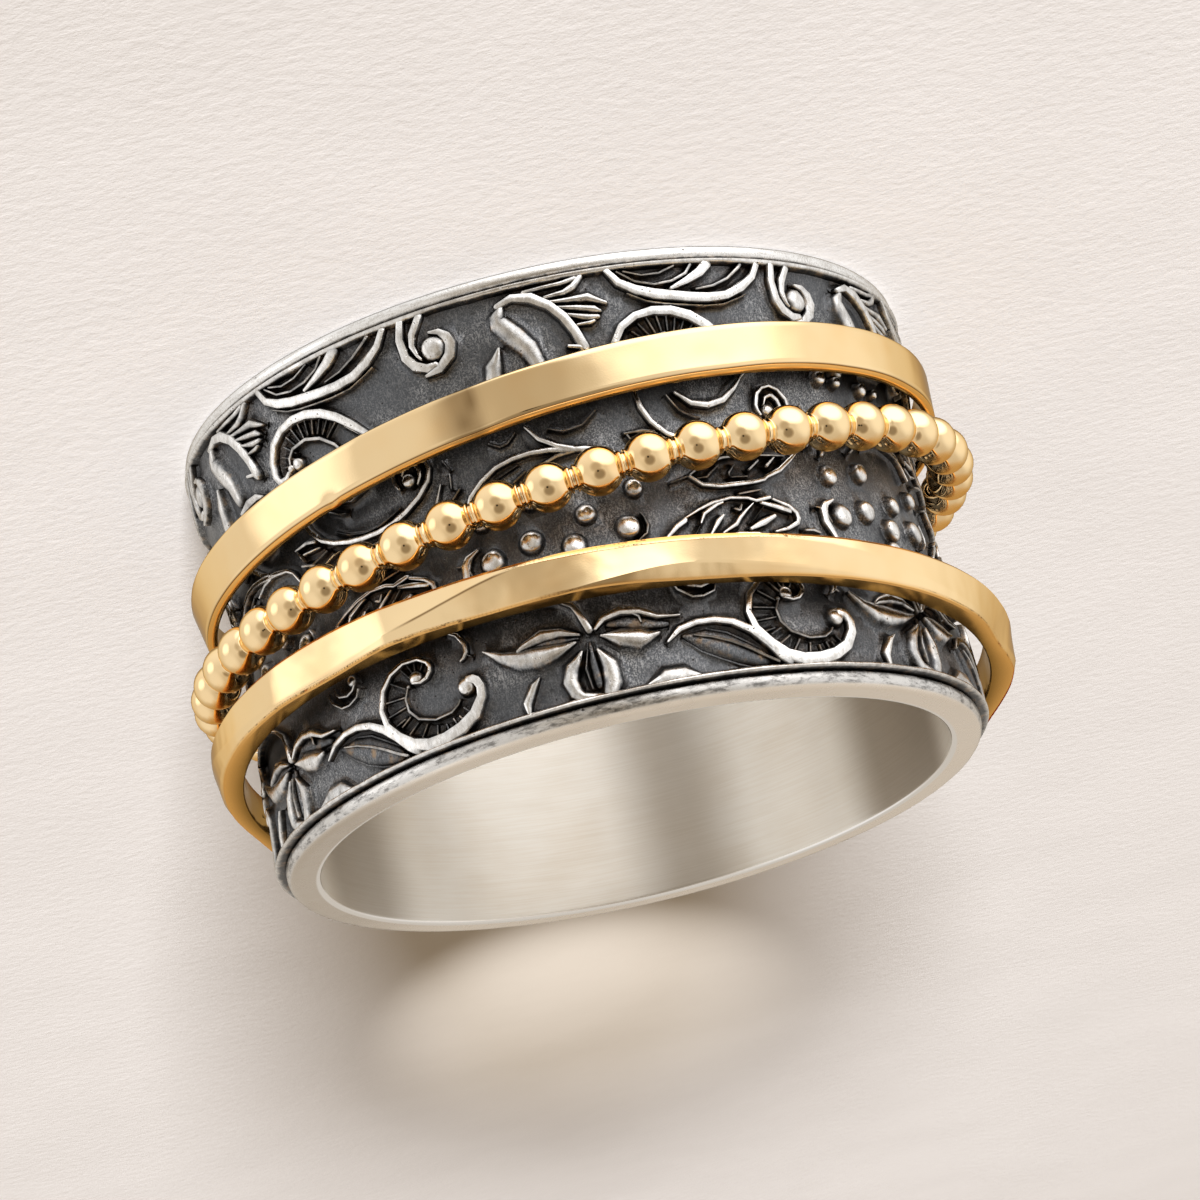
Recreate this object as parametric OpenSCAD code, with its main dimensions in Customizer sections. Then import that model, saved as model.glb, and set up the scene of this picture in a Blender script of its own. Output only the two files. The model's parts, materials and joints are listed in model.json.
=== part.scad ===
// Spinner ring: a plain liner, a waisted sleeve with cast botanical relief and
// three loose rings that turn on the sleeve. The ring stands on its wider rim,
// its axis is +Z, and the origin is the middle of the rim that it stands on.

/* [Liner] */
// Radius of the hole for the finger
bore_r = 9.05; // [8.2:0.05:9.15]
// Whole height of the ring
ring_h = 12.8; // [12.8:0.1:14]
// Wall of the liner between its two rims
liner_wall = 0.3; // [0.2:0.02:0.3]
// Radius of the rim that the ring stands on
foot_r = 10.42; // [10.2:0.02:10.5]
// Height of that rim
foot_h = 0.38; // [0.3:0.02:0.4]
// Radius of the rim at the open end
mouth_r = 10; // [9.8:0.02:10.1]
// Height of that rim
mouth_h = 0.44; // [0.36:0.02:0.46]

/* [Sleeve] */
// Radius over the relief at the waist
waist_r = 10.02; // [10:0.01:10.05]
// How much wider the sleeve is at its foot
foot_flare = 0.48; // [0.3:0.02:0.5]
// How much wider the sleeve is at its mouth
mouth_flare = 0.25; // [0.1:0.01:0.25]
// Height of the relief above the ground between the motifs
relief_h = 0.28; // [0.15:0.01:0.3]
// Repeats of the pattern round the sleeve
repeats = 6; // [5:1:6]

/* [Flat spinner] */
// Height of its middle above the foot
flat_z = 3.85; // [3.8:0.05:3.9]
// Width of the ring along its axis
flat_w = 1.38; // [1.1:0.02:1.4]
// Its outer radius
flat_r = 11.02; // [10.9:0.02:11.1]
// Thickness of its wall
flat_t = 0.44; // [0.3:0.02:0.44]

/* [Beaded spinner] */
// Height of its middle above the foot
bead_z = 5.98; // [5.9:0.02:6.05]
// Diameter of one bead
bead_d = 1.34; // [1.1:0.01:1.34]
// Radius of the circle through the beads
bead_circle_r = 11; // [11:0.02:11.1]
// Number of beads
beads = 49; // [44:1:49]
// Diameter of the neck between two beads
neck_d = 0.72; // [0.6:0.02:0.8]

/* [Bevelled spinner] */
// Height of its middle above the foot
bevel_z = 9.96; // [9.8:0.02:10]
// Width of the ring along its axis
bevel_w = 1.16; // [1:0.02:1.2]
// Radius of its hammered ridge
bevel_r = 11.46; // [11.3:0.02:11.5]
// Radius of its inner face
bevel_in_r = 10.64; // [10.62:0.02:10.7]
// How far the ridge wanders along the axis
ridge_sway = 0.2; // [0:0.02:0.24]

/* [Hidden] */
$fn = 96;

// Lean of each loose ring's axis away from +Z, towards +X and towards +Y
flat_lean = [-4.6, -0.7];
bead_lean = [-5.4, 2.6];
bevel_lean = [3, -4.5];

// Angle of the bead that stands at the front
first_bead = -87.65;

silver = "silver";
dark_silver = "dimgray";
gold = "#e6c68a";

sleeve_gap = 0.03;
seat_gap = 0.05;
sleeve_in_r = bore_r + liner_wall + sleeve_gap;
sleeve_z0 = foot_h + seat_gap;
sleeve_z1 = ring_h - mouth_h - seat_gap;
edge_w = 0.13;
facets = 36;

// The sleeve's outline: flat at the waist, with a soft flare to each end
foot_turn = [0.8, 5.6];
mouth_turn = [6.2, 11.6];

function ease(t) = let (u = min(max(t, 0), 1)) u * u * (3 - 2 * u);
function top_r(z) =
    waist_r + foot_flare * (1 - ease((z - foot_turn[0]) / (foot_turn[1] - foot_turn[0])))
    + mouth_flare * ease((z - mouth_turn[0]) / (mouth_turn[1] - mouth_turn[0]));
function ground_r(z) = top_r(z) - relief_h;

// One millimetre round the sleeve is this many degrees
repeat_deg = 360 / repeats;
repeat_w = 10.7;
deg_per_mm = repeat_deg / repeat_w;
// The first flower faces the front, which is -Y, and the pattern runs towards -X
front_deg = -89;

// A point on the sleeve: around and along in millimetres, rise above the ground
function on_sleeve(around, along, rise) =
    let (a = front_deg - around * deg_per_mm, r = ground_r(along) + rise)
    [r * cos(a), r * sin(a), along];

// Relief strokes. The columns of each table are around, along and width. Around
// runs from the middle of the flower, and one repeat is 10.7 wide.
root_depth = 0.12;
side_slope = 0.05;
// A stroke that is nowhere wider than this is a ridge with one top line
ridge_w = 0.16;

stem = [[0, 10.4, 0.24], [-0.2, 9.7, 0.18], [-1.1, 9.1, 0.1]];
crescent_rim = [[5.7, 10.22, 0.3], [6.16, 10.05, 0.15], [5.6, 9.6, 0.15], [4.8, 9.84, 0.16],
    [4.45, 10.6, 0.18], [4.85, 11.5, 0.24], [5.8, 12, 0.34], [6.9, 11.84, 0.36],
    [7.52, 11.2, 0.28], [7.22, 10.8, 0.34]];
crescent_inner = [[5.34, 10.3, 0.1], [5.28, 10.85, 0.11], [5.8, 11.42, 0.11], [6.8, 11.35, 0.1]];
blade_top = [[1.95, 11.08, 0.08], [2.7, 10.7, 0.14], [4, 10.88, 0.2], [5, 11.9, 0.38]];
fan_rim = [[2.72, 0.55, 0.22], [3.3, 1.14, 0.26], [5, 1.52, 0.32], [6.5, 1.28, 0.26],
    [7.25, 0.55, 0.22]];
fan_split = [[4.1, 1.3, 0.14], [4.7, 1.08, 0.3], [5.3, 0.55, 0.26]];
hook = [[7.68, 0.55, 0.15], [7.54, 1.3, 0.18], [8, 2, 0.2], [8.5, 1.9, 0.16]];
bell_stem = [[-0.4, 0.92, 0.12], [0.3, 0.9, 0.22], [1.3, 1.75, 0.2], [1.7, 2.62, 0.26]];
arch_rim = [[3.05, 3.08, 0.22], [2.5, 3.05, 0.22], [2.75, 2.2, 0.22], [3.6, 1.84, 0.22],
    [4.7, 2.04, 0.24], [5.6, 2.76, 0.26], [6.1, 3.5, 0.14]];
arch_inner = [[3.14, 2.9, 0.1], [3.7, 2.5, 0.11], [4.5, 2.8, 0.12], [5, 3.4, 0.11]];
paisley = [[2.8, 4.1, 0.12], [3.3, 5.2, 0.13], [4.6, 5.76, 0.14], [6.2, 5.68, 0.14],
    [7.36, 4.8, 0.14], [7, 4.08, 0.13], [6.34, 4.4, 0.14]];
paisley_bowl = [[3.9, 4.15, 0.12], [4.8, 4.6, 0.2], [5.8, 4, 0.12]];
lens = [[-2.4, 5.98, 0.12], [-1.6, 5.3, 0.14], [-0.3, 5.08, 0.14], [0.9, 5.26, 0.2],
    [2.25, 6.05, 0.12]];
leaf_one = [[3.25, 6.68, 0.1], [4.7, 6.92, 0.13], [6.1, 6.7, 0.13], [7.25, 6.08, 0.1]];
leaf_two = [[2.65, 8.24, 0.1], [4.1, 7.44, 0.13], [5.7, 7.34, 0.14], [6.78, 7.9, 0.15],
    [5.6, 8.4, 0.1]];
comma = [[8.3, 7.32, 0.12], [7.8, 7.8, 0.24], [8, 8.5, 0.14]];

strokes = [stem, crescent_rim, crescent_inner, blade_top, fan_rim, fan_split, hook, bell_stem,
    arch_rim, arch_inner, paisley, paisley_bowl, lens, leaf_one, leaf_two, comma];

// Petals and leaves, each a ridge between two tips. The columns are around and
// along of the first tip, the same of the middle and of the last tip, and width
blades = [[0.2, 10.3, 1, 10.04, 1.9, 10.3, 0.42], [0.35, 10.45, 1, 10.62, 1.75, 10.85, 0.48],
    [-0.25, 10.3, -1, 10.04, -1.85, 10.35, 0.42], [-0.4, 10.5, -1.3, 10.62, -2.6, 10.2, 0.5],
    [-0.2, 10.7, -0.62, 11.45, -0.3, 12.12, 0.42], [0.12, 10.7, 0.4, 11.4, 0.24, 12.12, 0.38],
    [0.95, 1.25, 1.6, 1.2, 2.35, 1.6, 0.3], [1.4, 1.5, 1.85, 1.85, 2.25, 1.7, 0.34],
    [0.4, 0.78, 1.2, 0.96, 2.05, 0.68, 0.2], [-0.5, 0.95, -0.5, 1.6, 0.3, 2.75, 0.5],
    [-0.56, 2.1, -0.78, 2.5, -0.9, 3.1, 0.34], [2.3, 5.12, 2.8, 5.35, 3.5, 5.5, 0.26]];

// Berries and round ends. The columns are around, along and radius
berries = [[-2.2, 6.55, 0.28], [-2.12, 7.76, 0.33], [-0.95, 7.52, 0.31], [0.18, 7.92, 0.32],
    [0.68, 7.1, 0.27], [1.75, 7.7, 0.32], [2.06, 12.16, 0.5], [8.5, 1.6, 0.44]];

// Ribs of the crescent and the arch: middle around and along, inner and outer
// radius, first and last angle, number of ribs
rib_fans = [[6, 10.62, 0.82, 1.36, 210, 340, 3], [4.05, 3.3, 0.84, 1.36, 140, 50, 3]];
rib_w = 0.09;

function unit(v) = v / max(norm(v), 0.001);
function heading(s, i) =
    let (a = s[max(i - 1, 0)], b = s[min(i + 1, len(s) - 1)]) unit([b[0] - a[0], b[1] - a[1]]);
// A stroke's corners at one station: two on top, or one on a narrow ridge, and
// two under the ground
function station(s, i, rise, narrow) =
    let (d = heading(s, i), side = [-d[1], d[0]], w = s[i][2] / 2, foot = w + side_slope,
        top = narrow ? [0] : [w, -w])
    [for (o = top) on_sleeve(s[i][0] + side[0] * o, s[i][1] + side[1] * o, rise),
     for (o = [-foot, foot]) on_sleeve(s[i][0] + side[0] * o, s[i][1] + side[1] * o, -root_depth)];

module stroke(s, rise, ridge = false) {
    narrow = ridge || max([for (row = s) row[2]]) < ridge_w;
    n = narrow ? 3 : 4;
    last = len(s) - 1;
    points = [for (i = [0:last]) each station(s, i, rise, narrow)];
    walls = [for (i = [0:last - 1], k = [0:n - 1])
        let (a = n * i + k, b = n * i + (k + 1) % n) each [[a, b + n, a + n], [a, b, b + n]]];
    first_end = [for (k = [n - 1:-1:0]) k];
    last_end = [for (k = [0:n - 1]) n * last + k];
    polyhedron(points, concat(walls, [first_end, last_end]));
}

module blade(b) {
    tip_w = 0.06;
    stroke([[b[0], b[1], tip_w], [b[2], b[3], b[6]], [b[4], b[5], tip_w]], relief_h, true);
}

// A low dome: the hull of a wide plate under the ground and a narrow one on top
module berry(b) {
    hull() {
        plate(b, b[2], -root_depth);
        plate(b, 0.62 * b[2], relief_h);
    }
}

// A thin six-sided plate that lies on the sleeve, with one point under it
module plate(b, r, rise) {
    sides = 6;
    thin = 0.02;
    corners = [for (k = [0:sides - 1]) let (a = k * 360 / sides)
        on_sleeve(b[0] + r * cos(a), b[1] + r * sin(a), rise)];
    polyhedron(concat(corners, [on_sleeve(b[0], b[1], rise - thin)]), concat(
        [[for (k = [0:sides - 1]) k]],
        [for (k = [0:sides - 1]) [(k + 1) % sides, k, sides]]));
}

module rib_fan(f) {
    last = f[6] - 1;
    for (i = [0:last]) {
        a = f[4] + (f[5] - f[4]) * i / last;
        stroke([[f[0] + f[2] * cos(a), f[1] - f[2] * sin(a), rib_w],
            [f[0] + f[3] * cos(a), f[1] - f[3] * sin(a), rib_w]], relief_h * 0.8);
    }
}

// A rectangle with round corners, made of squares and circles
module round_box(x0, x1, y0, y1, r) {
    translate([x0 + r, y0]) square([x1 - x0 - 2 * r, y1 - y0]);
    translate([x0, y0 + r]) square([x1 - x0, y1 - y0 - 2 * r]);
    for (x = [x0 + r, x1 - r], y = [y0 + r, y1 - r]) translate([x, y]) circle(r);
}

// Turns a ring about the origin so that its axis leans, then lifts it
module leaning(lean, z) {
    translate([0, 0, z]) rotate([-lean[1], lean[0], 0]) children();
}

module liner() {
    corner = 0.14;
    color(silver) rotate_extrude() {
        round_box(bore_r, foot_r, 0, foot_h, corner);
        translate([bore_r, corner]) square([liner_wall, ring_h - 2 * corner]);
        round_box(bore_r, mouth_r, ring_h - mouth_h, ring_h, corner);
    }
}

module sleeve_wall() {
    steps = 4;
    z0 = sleeve_z0 + edge_w;
    z1 = sleeve_z1 - edge_w;
    // The middles of the flats keep the gap to the liner, not only the corners
    in_r = sleeve_in_r / cos(180 / facets);
    ground = [for (i = [0:steps]) let (z = z0 + (z1 - z0) * i / steps) [ground_r(z), z]];
    rotate_extrude($fn = facets)
        polygon(concat(
            [[in_r, sleeve_z0], [top_r(sleeve_z0), sleeve_z0], [top_r(z0), z0 - side_slope]],
            ground,
            [[top_r(z1), z1 + side_slope], [top_r(sleeve_z1), sleeve_z1 - side_slope],
             [mouth_r, sleeve_z1], [in_r, sleeve_z1]]));
}

module patterned_sleeve() {
    color(dark_silver) union() {
        sleeve_wall();
        for (n = [0:repeats - 1]) rotate([0, 0, n * repeat_deg]) {
            for (s = strokes) stroke(s, relief_h);
            for (b = blades) blade(b);
            for (b = berries) berry(b);
            for (f = rib_fans) rib_fan(f);
        }
    }
}

module flat_spinner() {
    h = flat_w / 2;
    c = 0.1;
    taper = 0.14;
    in_r = flat_r - flat_t;
    color(gold) leaning(flat_lean, flat_z) rotate_extrude()
        polygon([[in_r, c - h], [in_r + c, -h], [flat_r - c, -h], [flat_r, c - h],
            [flat_r - taper / 2, h - 2 * c], [flat_r - taper, h - c], [flat_r - taper - c, h],
            [in_r + c, h], [in_r, h - c]]);
}

module beaded_spinner() {
    color(gold) leaning(bead_lean, bead_z) {
        rotate_extrude() translate([bead_circle_r, 0]) circle(d = neck_d);
        for (n = [0:beads - 1]) rotate([0, 0, first_bead + n * 360 / beads])
            translate([bead_circle_r, 0, 0]) sphere(d = bead_d);
    }
}

// The bevelled ring's section at one angle: the ridge wanders along the axis. Its
// inner face is left a little too near, and a round bore is cut through it
function ridge_z(a) = ridge_sway * (0.6 * sin(3 * a + 20) + 0.4 * sin(5 * a + 80));
function bevel_section(a) =
    let (h = bevel_w / 2, z = ridge_z(a), edge = 0.12, near_r = bevel_in_r - 0.03)
    [[near_r, -h + edge], [bevel_in_r + edge, -h], [bevel_r - 0.22, -h],
     [bevel_r, z - 0.1], [bevel_r - 0.04, z + 0.12], [bevel_r - 0.42, h], [bevel_in_r + edge, h],
     [near_r, h - edge]];

module bevelled_spinner() {
    sides = 64;
    n = len(bevel_section(0));
    points = [for (i = [0:sides - 1]) let (a = i * 360 / sides)
        for (p = bevel_section(a)) [p[0] * cos(a), p[0] * sin(a), p[1]]];
    faces = [for (i = [0:sides - 1], k = [0:n - 1])
        let (a = i * n + k, b = i * n + (k + 1) % n,
            c = ((i + 1) % sides) * n + (k + 1) % n, d = ((i + 1) % sides) * n + k)
        each [[a, c, d], [a, b, c]]];
    color(gold) leaning(bevel_lean, bevel_z) difference() {
        polyhedron(points, faces);
        cylinder(h = 2 * bevel_w, r = bevel_in_r, center = true);
    }
}

liner();
patterned_sleeve();
flat_spinner();
beaded_spinner();
bevelled_spinner();
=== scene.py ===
# Spinner ring: a silver liner and a relief sleeve on one body, and three loose
# gold rings, each in the leaning frame of its own joint. Shapes are worked out in
# millimetres and turned into metres where the meshes are made.
import json
import math

import bpy
import numpy as np
from mathutils import Matrix, Vector, noise

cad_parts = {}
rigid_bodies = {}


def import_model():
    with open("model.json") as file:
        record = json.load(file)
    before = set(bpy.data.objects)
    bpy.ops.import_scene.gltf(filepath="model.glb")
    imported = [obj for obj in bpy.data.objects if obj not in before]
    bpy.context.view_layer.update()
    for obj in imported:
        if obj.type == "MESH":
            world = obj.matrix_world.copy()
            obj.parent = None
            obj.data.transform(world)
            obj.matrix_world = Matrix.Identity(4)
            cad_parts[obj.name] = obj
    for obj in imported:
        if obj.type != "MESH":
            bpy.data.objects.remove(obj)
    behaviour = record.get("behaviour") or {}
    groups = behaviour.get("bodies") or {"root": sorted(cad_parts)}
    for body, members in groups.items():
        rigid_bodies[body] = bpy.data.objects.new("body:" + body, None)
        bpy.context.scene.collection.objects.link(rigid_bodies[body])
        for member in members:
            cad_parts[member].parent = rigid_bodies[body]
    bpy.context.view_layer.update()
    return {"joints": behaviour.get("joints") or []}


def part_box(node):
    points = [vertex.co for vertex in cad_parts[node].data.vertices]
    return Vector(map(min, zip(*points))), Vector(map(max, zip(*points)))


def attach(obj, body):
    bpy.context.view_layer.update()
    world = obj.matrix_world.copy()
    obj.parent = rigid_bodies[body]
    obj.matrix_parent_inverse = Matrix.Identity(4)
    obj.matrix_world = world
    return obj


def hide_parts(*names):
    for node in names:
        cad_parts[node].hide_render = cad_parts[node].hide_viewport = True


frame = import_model()

MM = 0.001
SCENE = bpy.context.scene

# Liner
RING_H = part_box("liner")[1].z / MM
BORE_R = 9.05
BORE_ROUND = 0.14
LINER_WALL_R = 9.35
FOOT_R = 10.42
FOOT_H = 0.38
FOOT_ROUND = 0.17
MOUTH_R = 10.0
MOUTH_H = 0.44
MOUTH_ROUND = 0.30
MOUTH_LOW_ROUND = 0.04
LINER_STEPS = 720

# Sleeve
SEAT_GAP = 0.05
SLEEVE_IN_R = 9.38
SLEEVE_Z0 = FOOT_H + SEAT_GAP
SLEEVE_Z1 = RING_H - MOUTH_H - SEAT_GAP
WAIST_R = 10.02
FOOT_FLARE = 0.48
MOUTH_FLARE = 0.25
# The heights over which each flare runs out
FOOT_TURN = (0.8, 5.6)
MOUTH_TURN = (6.2, 11.6)
RELIEF_H = 0.28
EDGE_W = 0.13
SLEEVE_STEPS = 256
REPEATS = 6
REPEAT_W = 10.7
# The angle of the first flower's middle
FRONT_DEG = -89.0


def ease(t):
    """0 to 1 as t goes from 0 to 1, smoothly."""
    u = min(max(t, 0.0), 1.0)
    return u * u * (3 - 2 * u)


def top_r(z):
    """Radius over the relief of the sleeve at a height."""
    foot = 1 - ease((z - FOOT_TURN[0]) / (FOOT_TURN[1] - FOOT_TURN[0]))
    mouth = ease((z - MOUTH_TURN[0]) / (MOUTH_TURN[1] - MOUTH_TURN[0]))
    return WAIST_R + FOOT_FLARE * foot + MOUTH_FLARE * mouth


def ground_r(z):
    return top_r(z) - RELIEF_H


def ripple(point, size, seed):
    """Smooth noise from -1 to 1 at a point in millimetres."""
    return noise.noise(Vector(point) / size + Vector((seed * 7.31, seed * 3.17, seed * 5.93)))


def polar(r, angle):
    """x and y at a radius and an angle in degrees."""
    a = math.radians(angle)
    return r * math.cos(a), r * math.sin(a)


# Mesh building

def facing_out(points, faces):
    """The faces in the order that makes their normals point out of the closed shape."""
    volume = 0.0
    for face in faces:
        a = points[face[0]]
        for i in range(1, len(face) - 1):
            volume += np.dot(a, np.cross(points[face[i]], points[face[i + 1]]))
    return [tuple(reversed(face)) for face in faces] if volume < 0 else faces


def grid_faces(rows, columns, wrap_rows):
    """Quads between rows of points, where each row is a closed loop."""
    faces = []
    for i in range(rows if wrap_rows else rows - 1):
        a, b = i * columns, (i + 1) % rows * columns
        for k in range(columns):
            m = (k + 1) % columns
            faces.append((a + k, b + k, b + m, a + m))
    return faces


def tube(loops):
    """A closed tube through loops of points, with a flat face at each end."""
    count, sides = len(loops), len(loops[0])
    points = np.concatenate([np.asarray(loop, float) for loop in loops])
    faces = grid_faces(count, sides, False)
    faces.append(tuple(range(sides)))
    faces.append(tuple(reversed(range((count - 1) * sides, count * sides))))
    return points, facing_out(points, faces)


def closed_ring(loops):
    """A ring through loops of points, the last of which joins the first."""
    points = np.concatenate([np.asarray(loop, float) for loop in loops])
    return points, facing_out(points, grid_faces(len(loops), len(loops[0]), True))


def lathe(section, steps, place):
    """A ring swept from a closed section of (radius, height) points. place gives
    each point's radius and height at an angle in degrees."""
    loops = []
    for i in range(steps):
        a = 360.0 * i / steps
        placed = [place(r, z, a) for r, z in section]
        loops.append([(*polar(r, a), z) for r, z in placed])
    return closed_ring(loops)


def rounded(x, z, r, start, count):
    """Points that round off a section's corner at (x, z), a quarter turn from start."""
    cx = x + r if start in (90, 180) else x - r
    cz = z + r if start in (-90, 180) else z - r
    turns = [polar(r, start + 90 * i / (count - 1)) for i in range(count)]
    return [(cx + dx, cz + dz) for dx, dz in turns]


def between(p, q, share):
    """The point at a share of the way from p to q."""
    return p[0] + (q[0] - p[0]) * share, p[1] + (q[1] - p[1]) * share


def line(p, q, count):
    """Points between two corners of a section, without the corners."""
    return [between(p, q, i / (count + 1)) for i in range(1, count + 1)]


def mesh_object(name, points, faces, crease_deg):
    mesh = bpy.data.meshes.new(name)
    mesh.from_pydata((points * MM).tolist(), [], faces)
    mesh.shade_smooth()
    mesh.set_sharp_from_angle(angle=math.radians(crease_deg))
    thing = bpy.data.objects.new(name, mesh)
    SCENE.collection.objects.link(thing)
    return thing


def keep_values(mesh, name, values):
    """Keeps one number for each vertex, for the material to read."""
    layer = mesh.attributes.new(name, "FLOAT", "POINT")
    layer.data.foreach_set("value", np.asarray(values, np.float32))


def finish_piece(thing, material, body, node):
    thing.data.materials.clear()
    thing.data.materials.append(material)
    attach(thing, body)
    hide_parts(node)


# Camera

CAMERA_AT = Vector((0.0, -143.36, 52.93))
CAMERA_AIM = Vector((-0.358, 0.0, 6.331))
CAMERA_ROLL_DEG = 166.70
VIEW_DEG = 12.933


def add_camera():
    back = (CAMERA_AT - CAMERA_AIM).normalized()
    right = Vector((0, 0, 1)).cross(back).normalized()
    up = back.cross(right)
    c, s = polar(1, CAMERA_ROLL_DEG)
    turn = Matrix((c * right + s * up, c * up - s * right, back)).transposed().to_4x4()
    data = bpy.data.cameras.new("camera")
    data.sensor_width = 36
    data.sensor_fit = "HORIZONTAL"
    data.lens = data.sensor_width / 2 / math.tan(math.radians(VIEW_DEG / 2))
    data.clip_start = 0.005
    data.clip_end = 5
    camera = bpy.data.objects.new("camera", data)
    camera.matrix_world = Matrix.Translation(CAMERA_AT * MM) @ turn
    SCENE.collection.objects.link(camera)
    SCENE.camera = camera


# Materials

class Nodes:
    """Short calls for building one node tree."""

    def __init__(self, tree):
        self.tree = tree

    def put(self, socket, value):
        """Links a socket to another node's output, or sets its value."""
        if isinstance(value, bpy.types.NodeSocket):
            self.tree.links.new(value, socket)
        else:
            socket.default_value = value

    def add(self, kind, values=None, **settings):
        node = self.tree.nodes.new(kind)
        for key, value in settings.items():
            setattr(node, key, value)
        for key, value in (values or {}).items():
            self.put(node.inputs[key], value)
        return node

    def feed(self, shader, **sockets):
        """Links or sets the shader's sockets, named with _ for a space."""
        for key, value in sockets.items():
            self.put(shader.inputs[key.replace("_", " ")], value)

    def math(self, operation, a, b=0.0):
        return self.add("ShaderNodeMath", {0: a, 1: b}, operation=operation).outputs[0]

    def times(self, a, b):
        return self.math("MULTIPLY", a, b)

    def most(self, a, b):
        return self.math("MAXIMUM", a, b)

    def kept(self, name):
        """The numbers that keep_values gave to the mesh."""
        return self.add("ShaderNodeAttribute", attribute_name=name).outputs["Fac"]

    def noise(self, vector, size_mm, detail=3.0, rough=0.5, stretch=(1, 1, 1)):
        """Noise from 0 to 1 whose patches are about size_mm wide."""
        scaled = self.add("ShaderNodeVectorMath", {0: vector, 1: stretch}, operation="MULTIPLY")
        return self.add("ShaderNodeTexNoise", {
            "Vector": scaled.outputs[0], "Scale": 1 / (size_mm * MM), "Detail": detail,
            "Roughness": rough}).outputs["Fac"]

    def spots(self, vector, size_mm, edge):
        """Round spots, 1 in their middle, on cells about size_mm wide."""
        node = self.add("ShaderNodeTexVoronoi", {"Vector": vector, "Scale": 1 / (size_mm * MM)})
        return self.step(node.outputs["Distance"], edge, 0.0)

    def step(self, value, low, high):
        """0 to 1 as value goes from low to high, smoothly."""
        return self.add("ShaderNodeMapRange", {
            "Value": value, "From Min": low, "From Max": high},
            interpolation_type="SMOOTHSTEP").outputs[0]

    def step_mm(self, value, low, high):
        return self.step(value, low * MM, high * MM)

    def mix(self, share, a, b):
        """The number a, or b where share is 1."""
        return self.add("ShaderNodeMix", {0: share, 2: a, 3: b}, data_type="FLOAT").outputs[0]

    def blend(self, share, a, b):
        """The colour a, or b where share is 1."""
        return self.add("ShaderNodeMix", {0: share, 6: a, 7: b}, data_type="RGBA").outputs[2]

    def bump(self, height, distance_mm, strength=1.0, normal=None):
        values = {"Height": height, "Distance": distance_mm * MM, "Strength": strength}
        if normal is not None:
            values["Normal"] = normal
        return self.add("ShaderNodeBump", values).outputs[0]


def new_material(name):
    material = bpy.data.materials.new(name)
    material.use_nodes = True
    tree = material.node_tree
    tree.nodes.clear()
    nodes = Nodes(tree)
    shader = nodes.add("ShaderNodeBsdfPrincipled")
    output = nodes.add("ShaderNodeOutputMaterial")
    tree.links.new(shader.outputs[0], output.inputs[0])
    place = nodes.add("ShaderNodeTexCoord").outputs["Object"]
    return material, nodes, shader, place


GOLD = (0.98, 0.74, 0.42, 1)
GOLD_DEEP = (0.96, 0.67, 0.34, 1)
# Painted shade and dark reflections, then painted deep orange reflections on gold edges
GOLD_PAINTED_DARK = (0.22, 0.12, 0.04, 1)
GOLD_PAINTED_REFLECTION = (0.86, 0.47, 0.14, 1)
GOLD_GRAZING = (0.93, 0.74, 0.47, 1)
SILVER = (0.94, 0.925, 0.90, 1)
SILVER_DULL = (0.68, 0.65, 0.61, 1)
SILVER_WORN = (0.93, 0.915, 0.89, 1)
SILVER_BEIGE = (0.95, 0.86, 0.75, 1)
BORE_SILVER = (1.0, 0.965, 0.90, 1)
BORE_WARM = (0.90, 0.83, 0.73, 1)
BORE_SHADE = (0.37, 0.315, 0.25, 1)
RIM_GREY = (0.36, 0.35, 0.34, 1)
RIM_DARK = (0.22, 0.21, 0.20, 1)
RIM_LIGHT = (0.74, 0.72, 0.69, 1)
GROUND_GREY = (0.105, 0.11, 0.118, 1)
GROUND_LIGHT = (0.50, 0.50, 0.50, 1)
GROUND_STAIN = (0.055, 0.052, 0.05, 1)
FLANK_REFLECTION_BROWN = (0.30, 0.215, 0.14, 1)
POCKET = (0.020, 0.017, 0.015, 1)
POCKET_BROWN = (0.060, 0.038, 0.022, 1)
PAPER = (0.80, 0.765, 0.725, 1)
PAPER_LIGHT = (0.83, 0.795, 0.755, 1)
PAPER_PAINTED_SHADE = (0.70, 0.66, 0.61, 1)


def gold_material(name, hammer_mm, hammer_size_mm):
    """Polished gold with soft hammer marks, hairlines and a slightly deeper tone in
    patches. The mesh keeps two shares: under, for painted deep orange reflections on
    edges, which are also rougher there, and groove, for painted shade and dark reflections."""
    material, nodes, shader, place = new_material(name)
    patches = nodes.noise(place, 1.8, 2)
    grain = nodes.noise(place, 0.05, 4, 0.6)
    under = nodes.kept("under")
    colour = nodes.blend(nodes.step(patches, 0.45, 0.85), GOLD, GOLD_DEEP)
    # Painted deep orange reflection where the mesh's under share is set
    colour = nodes.blend(under, colour, GOLD_PAINTED_REFLECTION)
    # Painted shade and painted dark reflections where the groove share is set
    colour = nodes.blend(nodes.kept("groove"), colour, GOLD_PAINTED_DARK)
    rough = nodes.mix(nodes.step(grain, 0.3, 0.8), 0.015, 0.05)
    rough = nodes.mix(under, rough, 0.28)
    normal = nodes.bump(nodes.noise(place, hammer_size_mm, 1), hammer_mm)
    normal = nodes.bump(grain, 0.0012, 0.5, normal)
    nodes.feed(shader, Base_Color=colour, Metallic=1.0, Roughness=rough, Normal=normal,
               Specular_Tint=GOLD_GRAZING)
    return material


# Painted shade and dark reflections on the liner: middle, inner and outer half width in degrees, and
# strength.
# First bands along the bore, then a painted shadow on the mouth rim's face and painted shade along its
# outer edge.
BORE_BANDS = [(98, 1, 15, 0.66), (152, 9, 22, 0.85), (24, 6, 20, 0.6), (-35, 6, 20, 0.5),
              (-100, 5, 16, 0.6), (-150, 5, 18, 0.4)]
RIM_SHADOW = (-8, 28, 60, 0.55)
FAR_EDGE = (75, 45, 75, 1.0)


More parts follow.
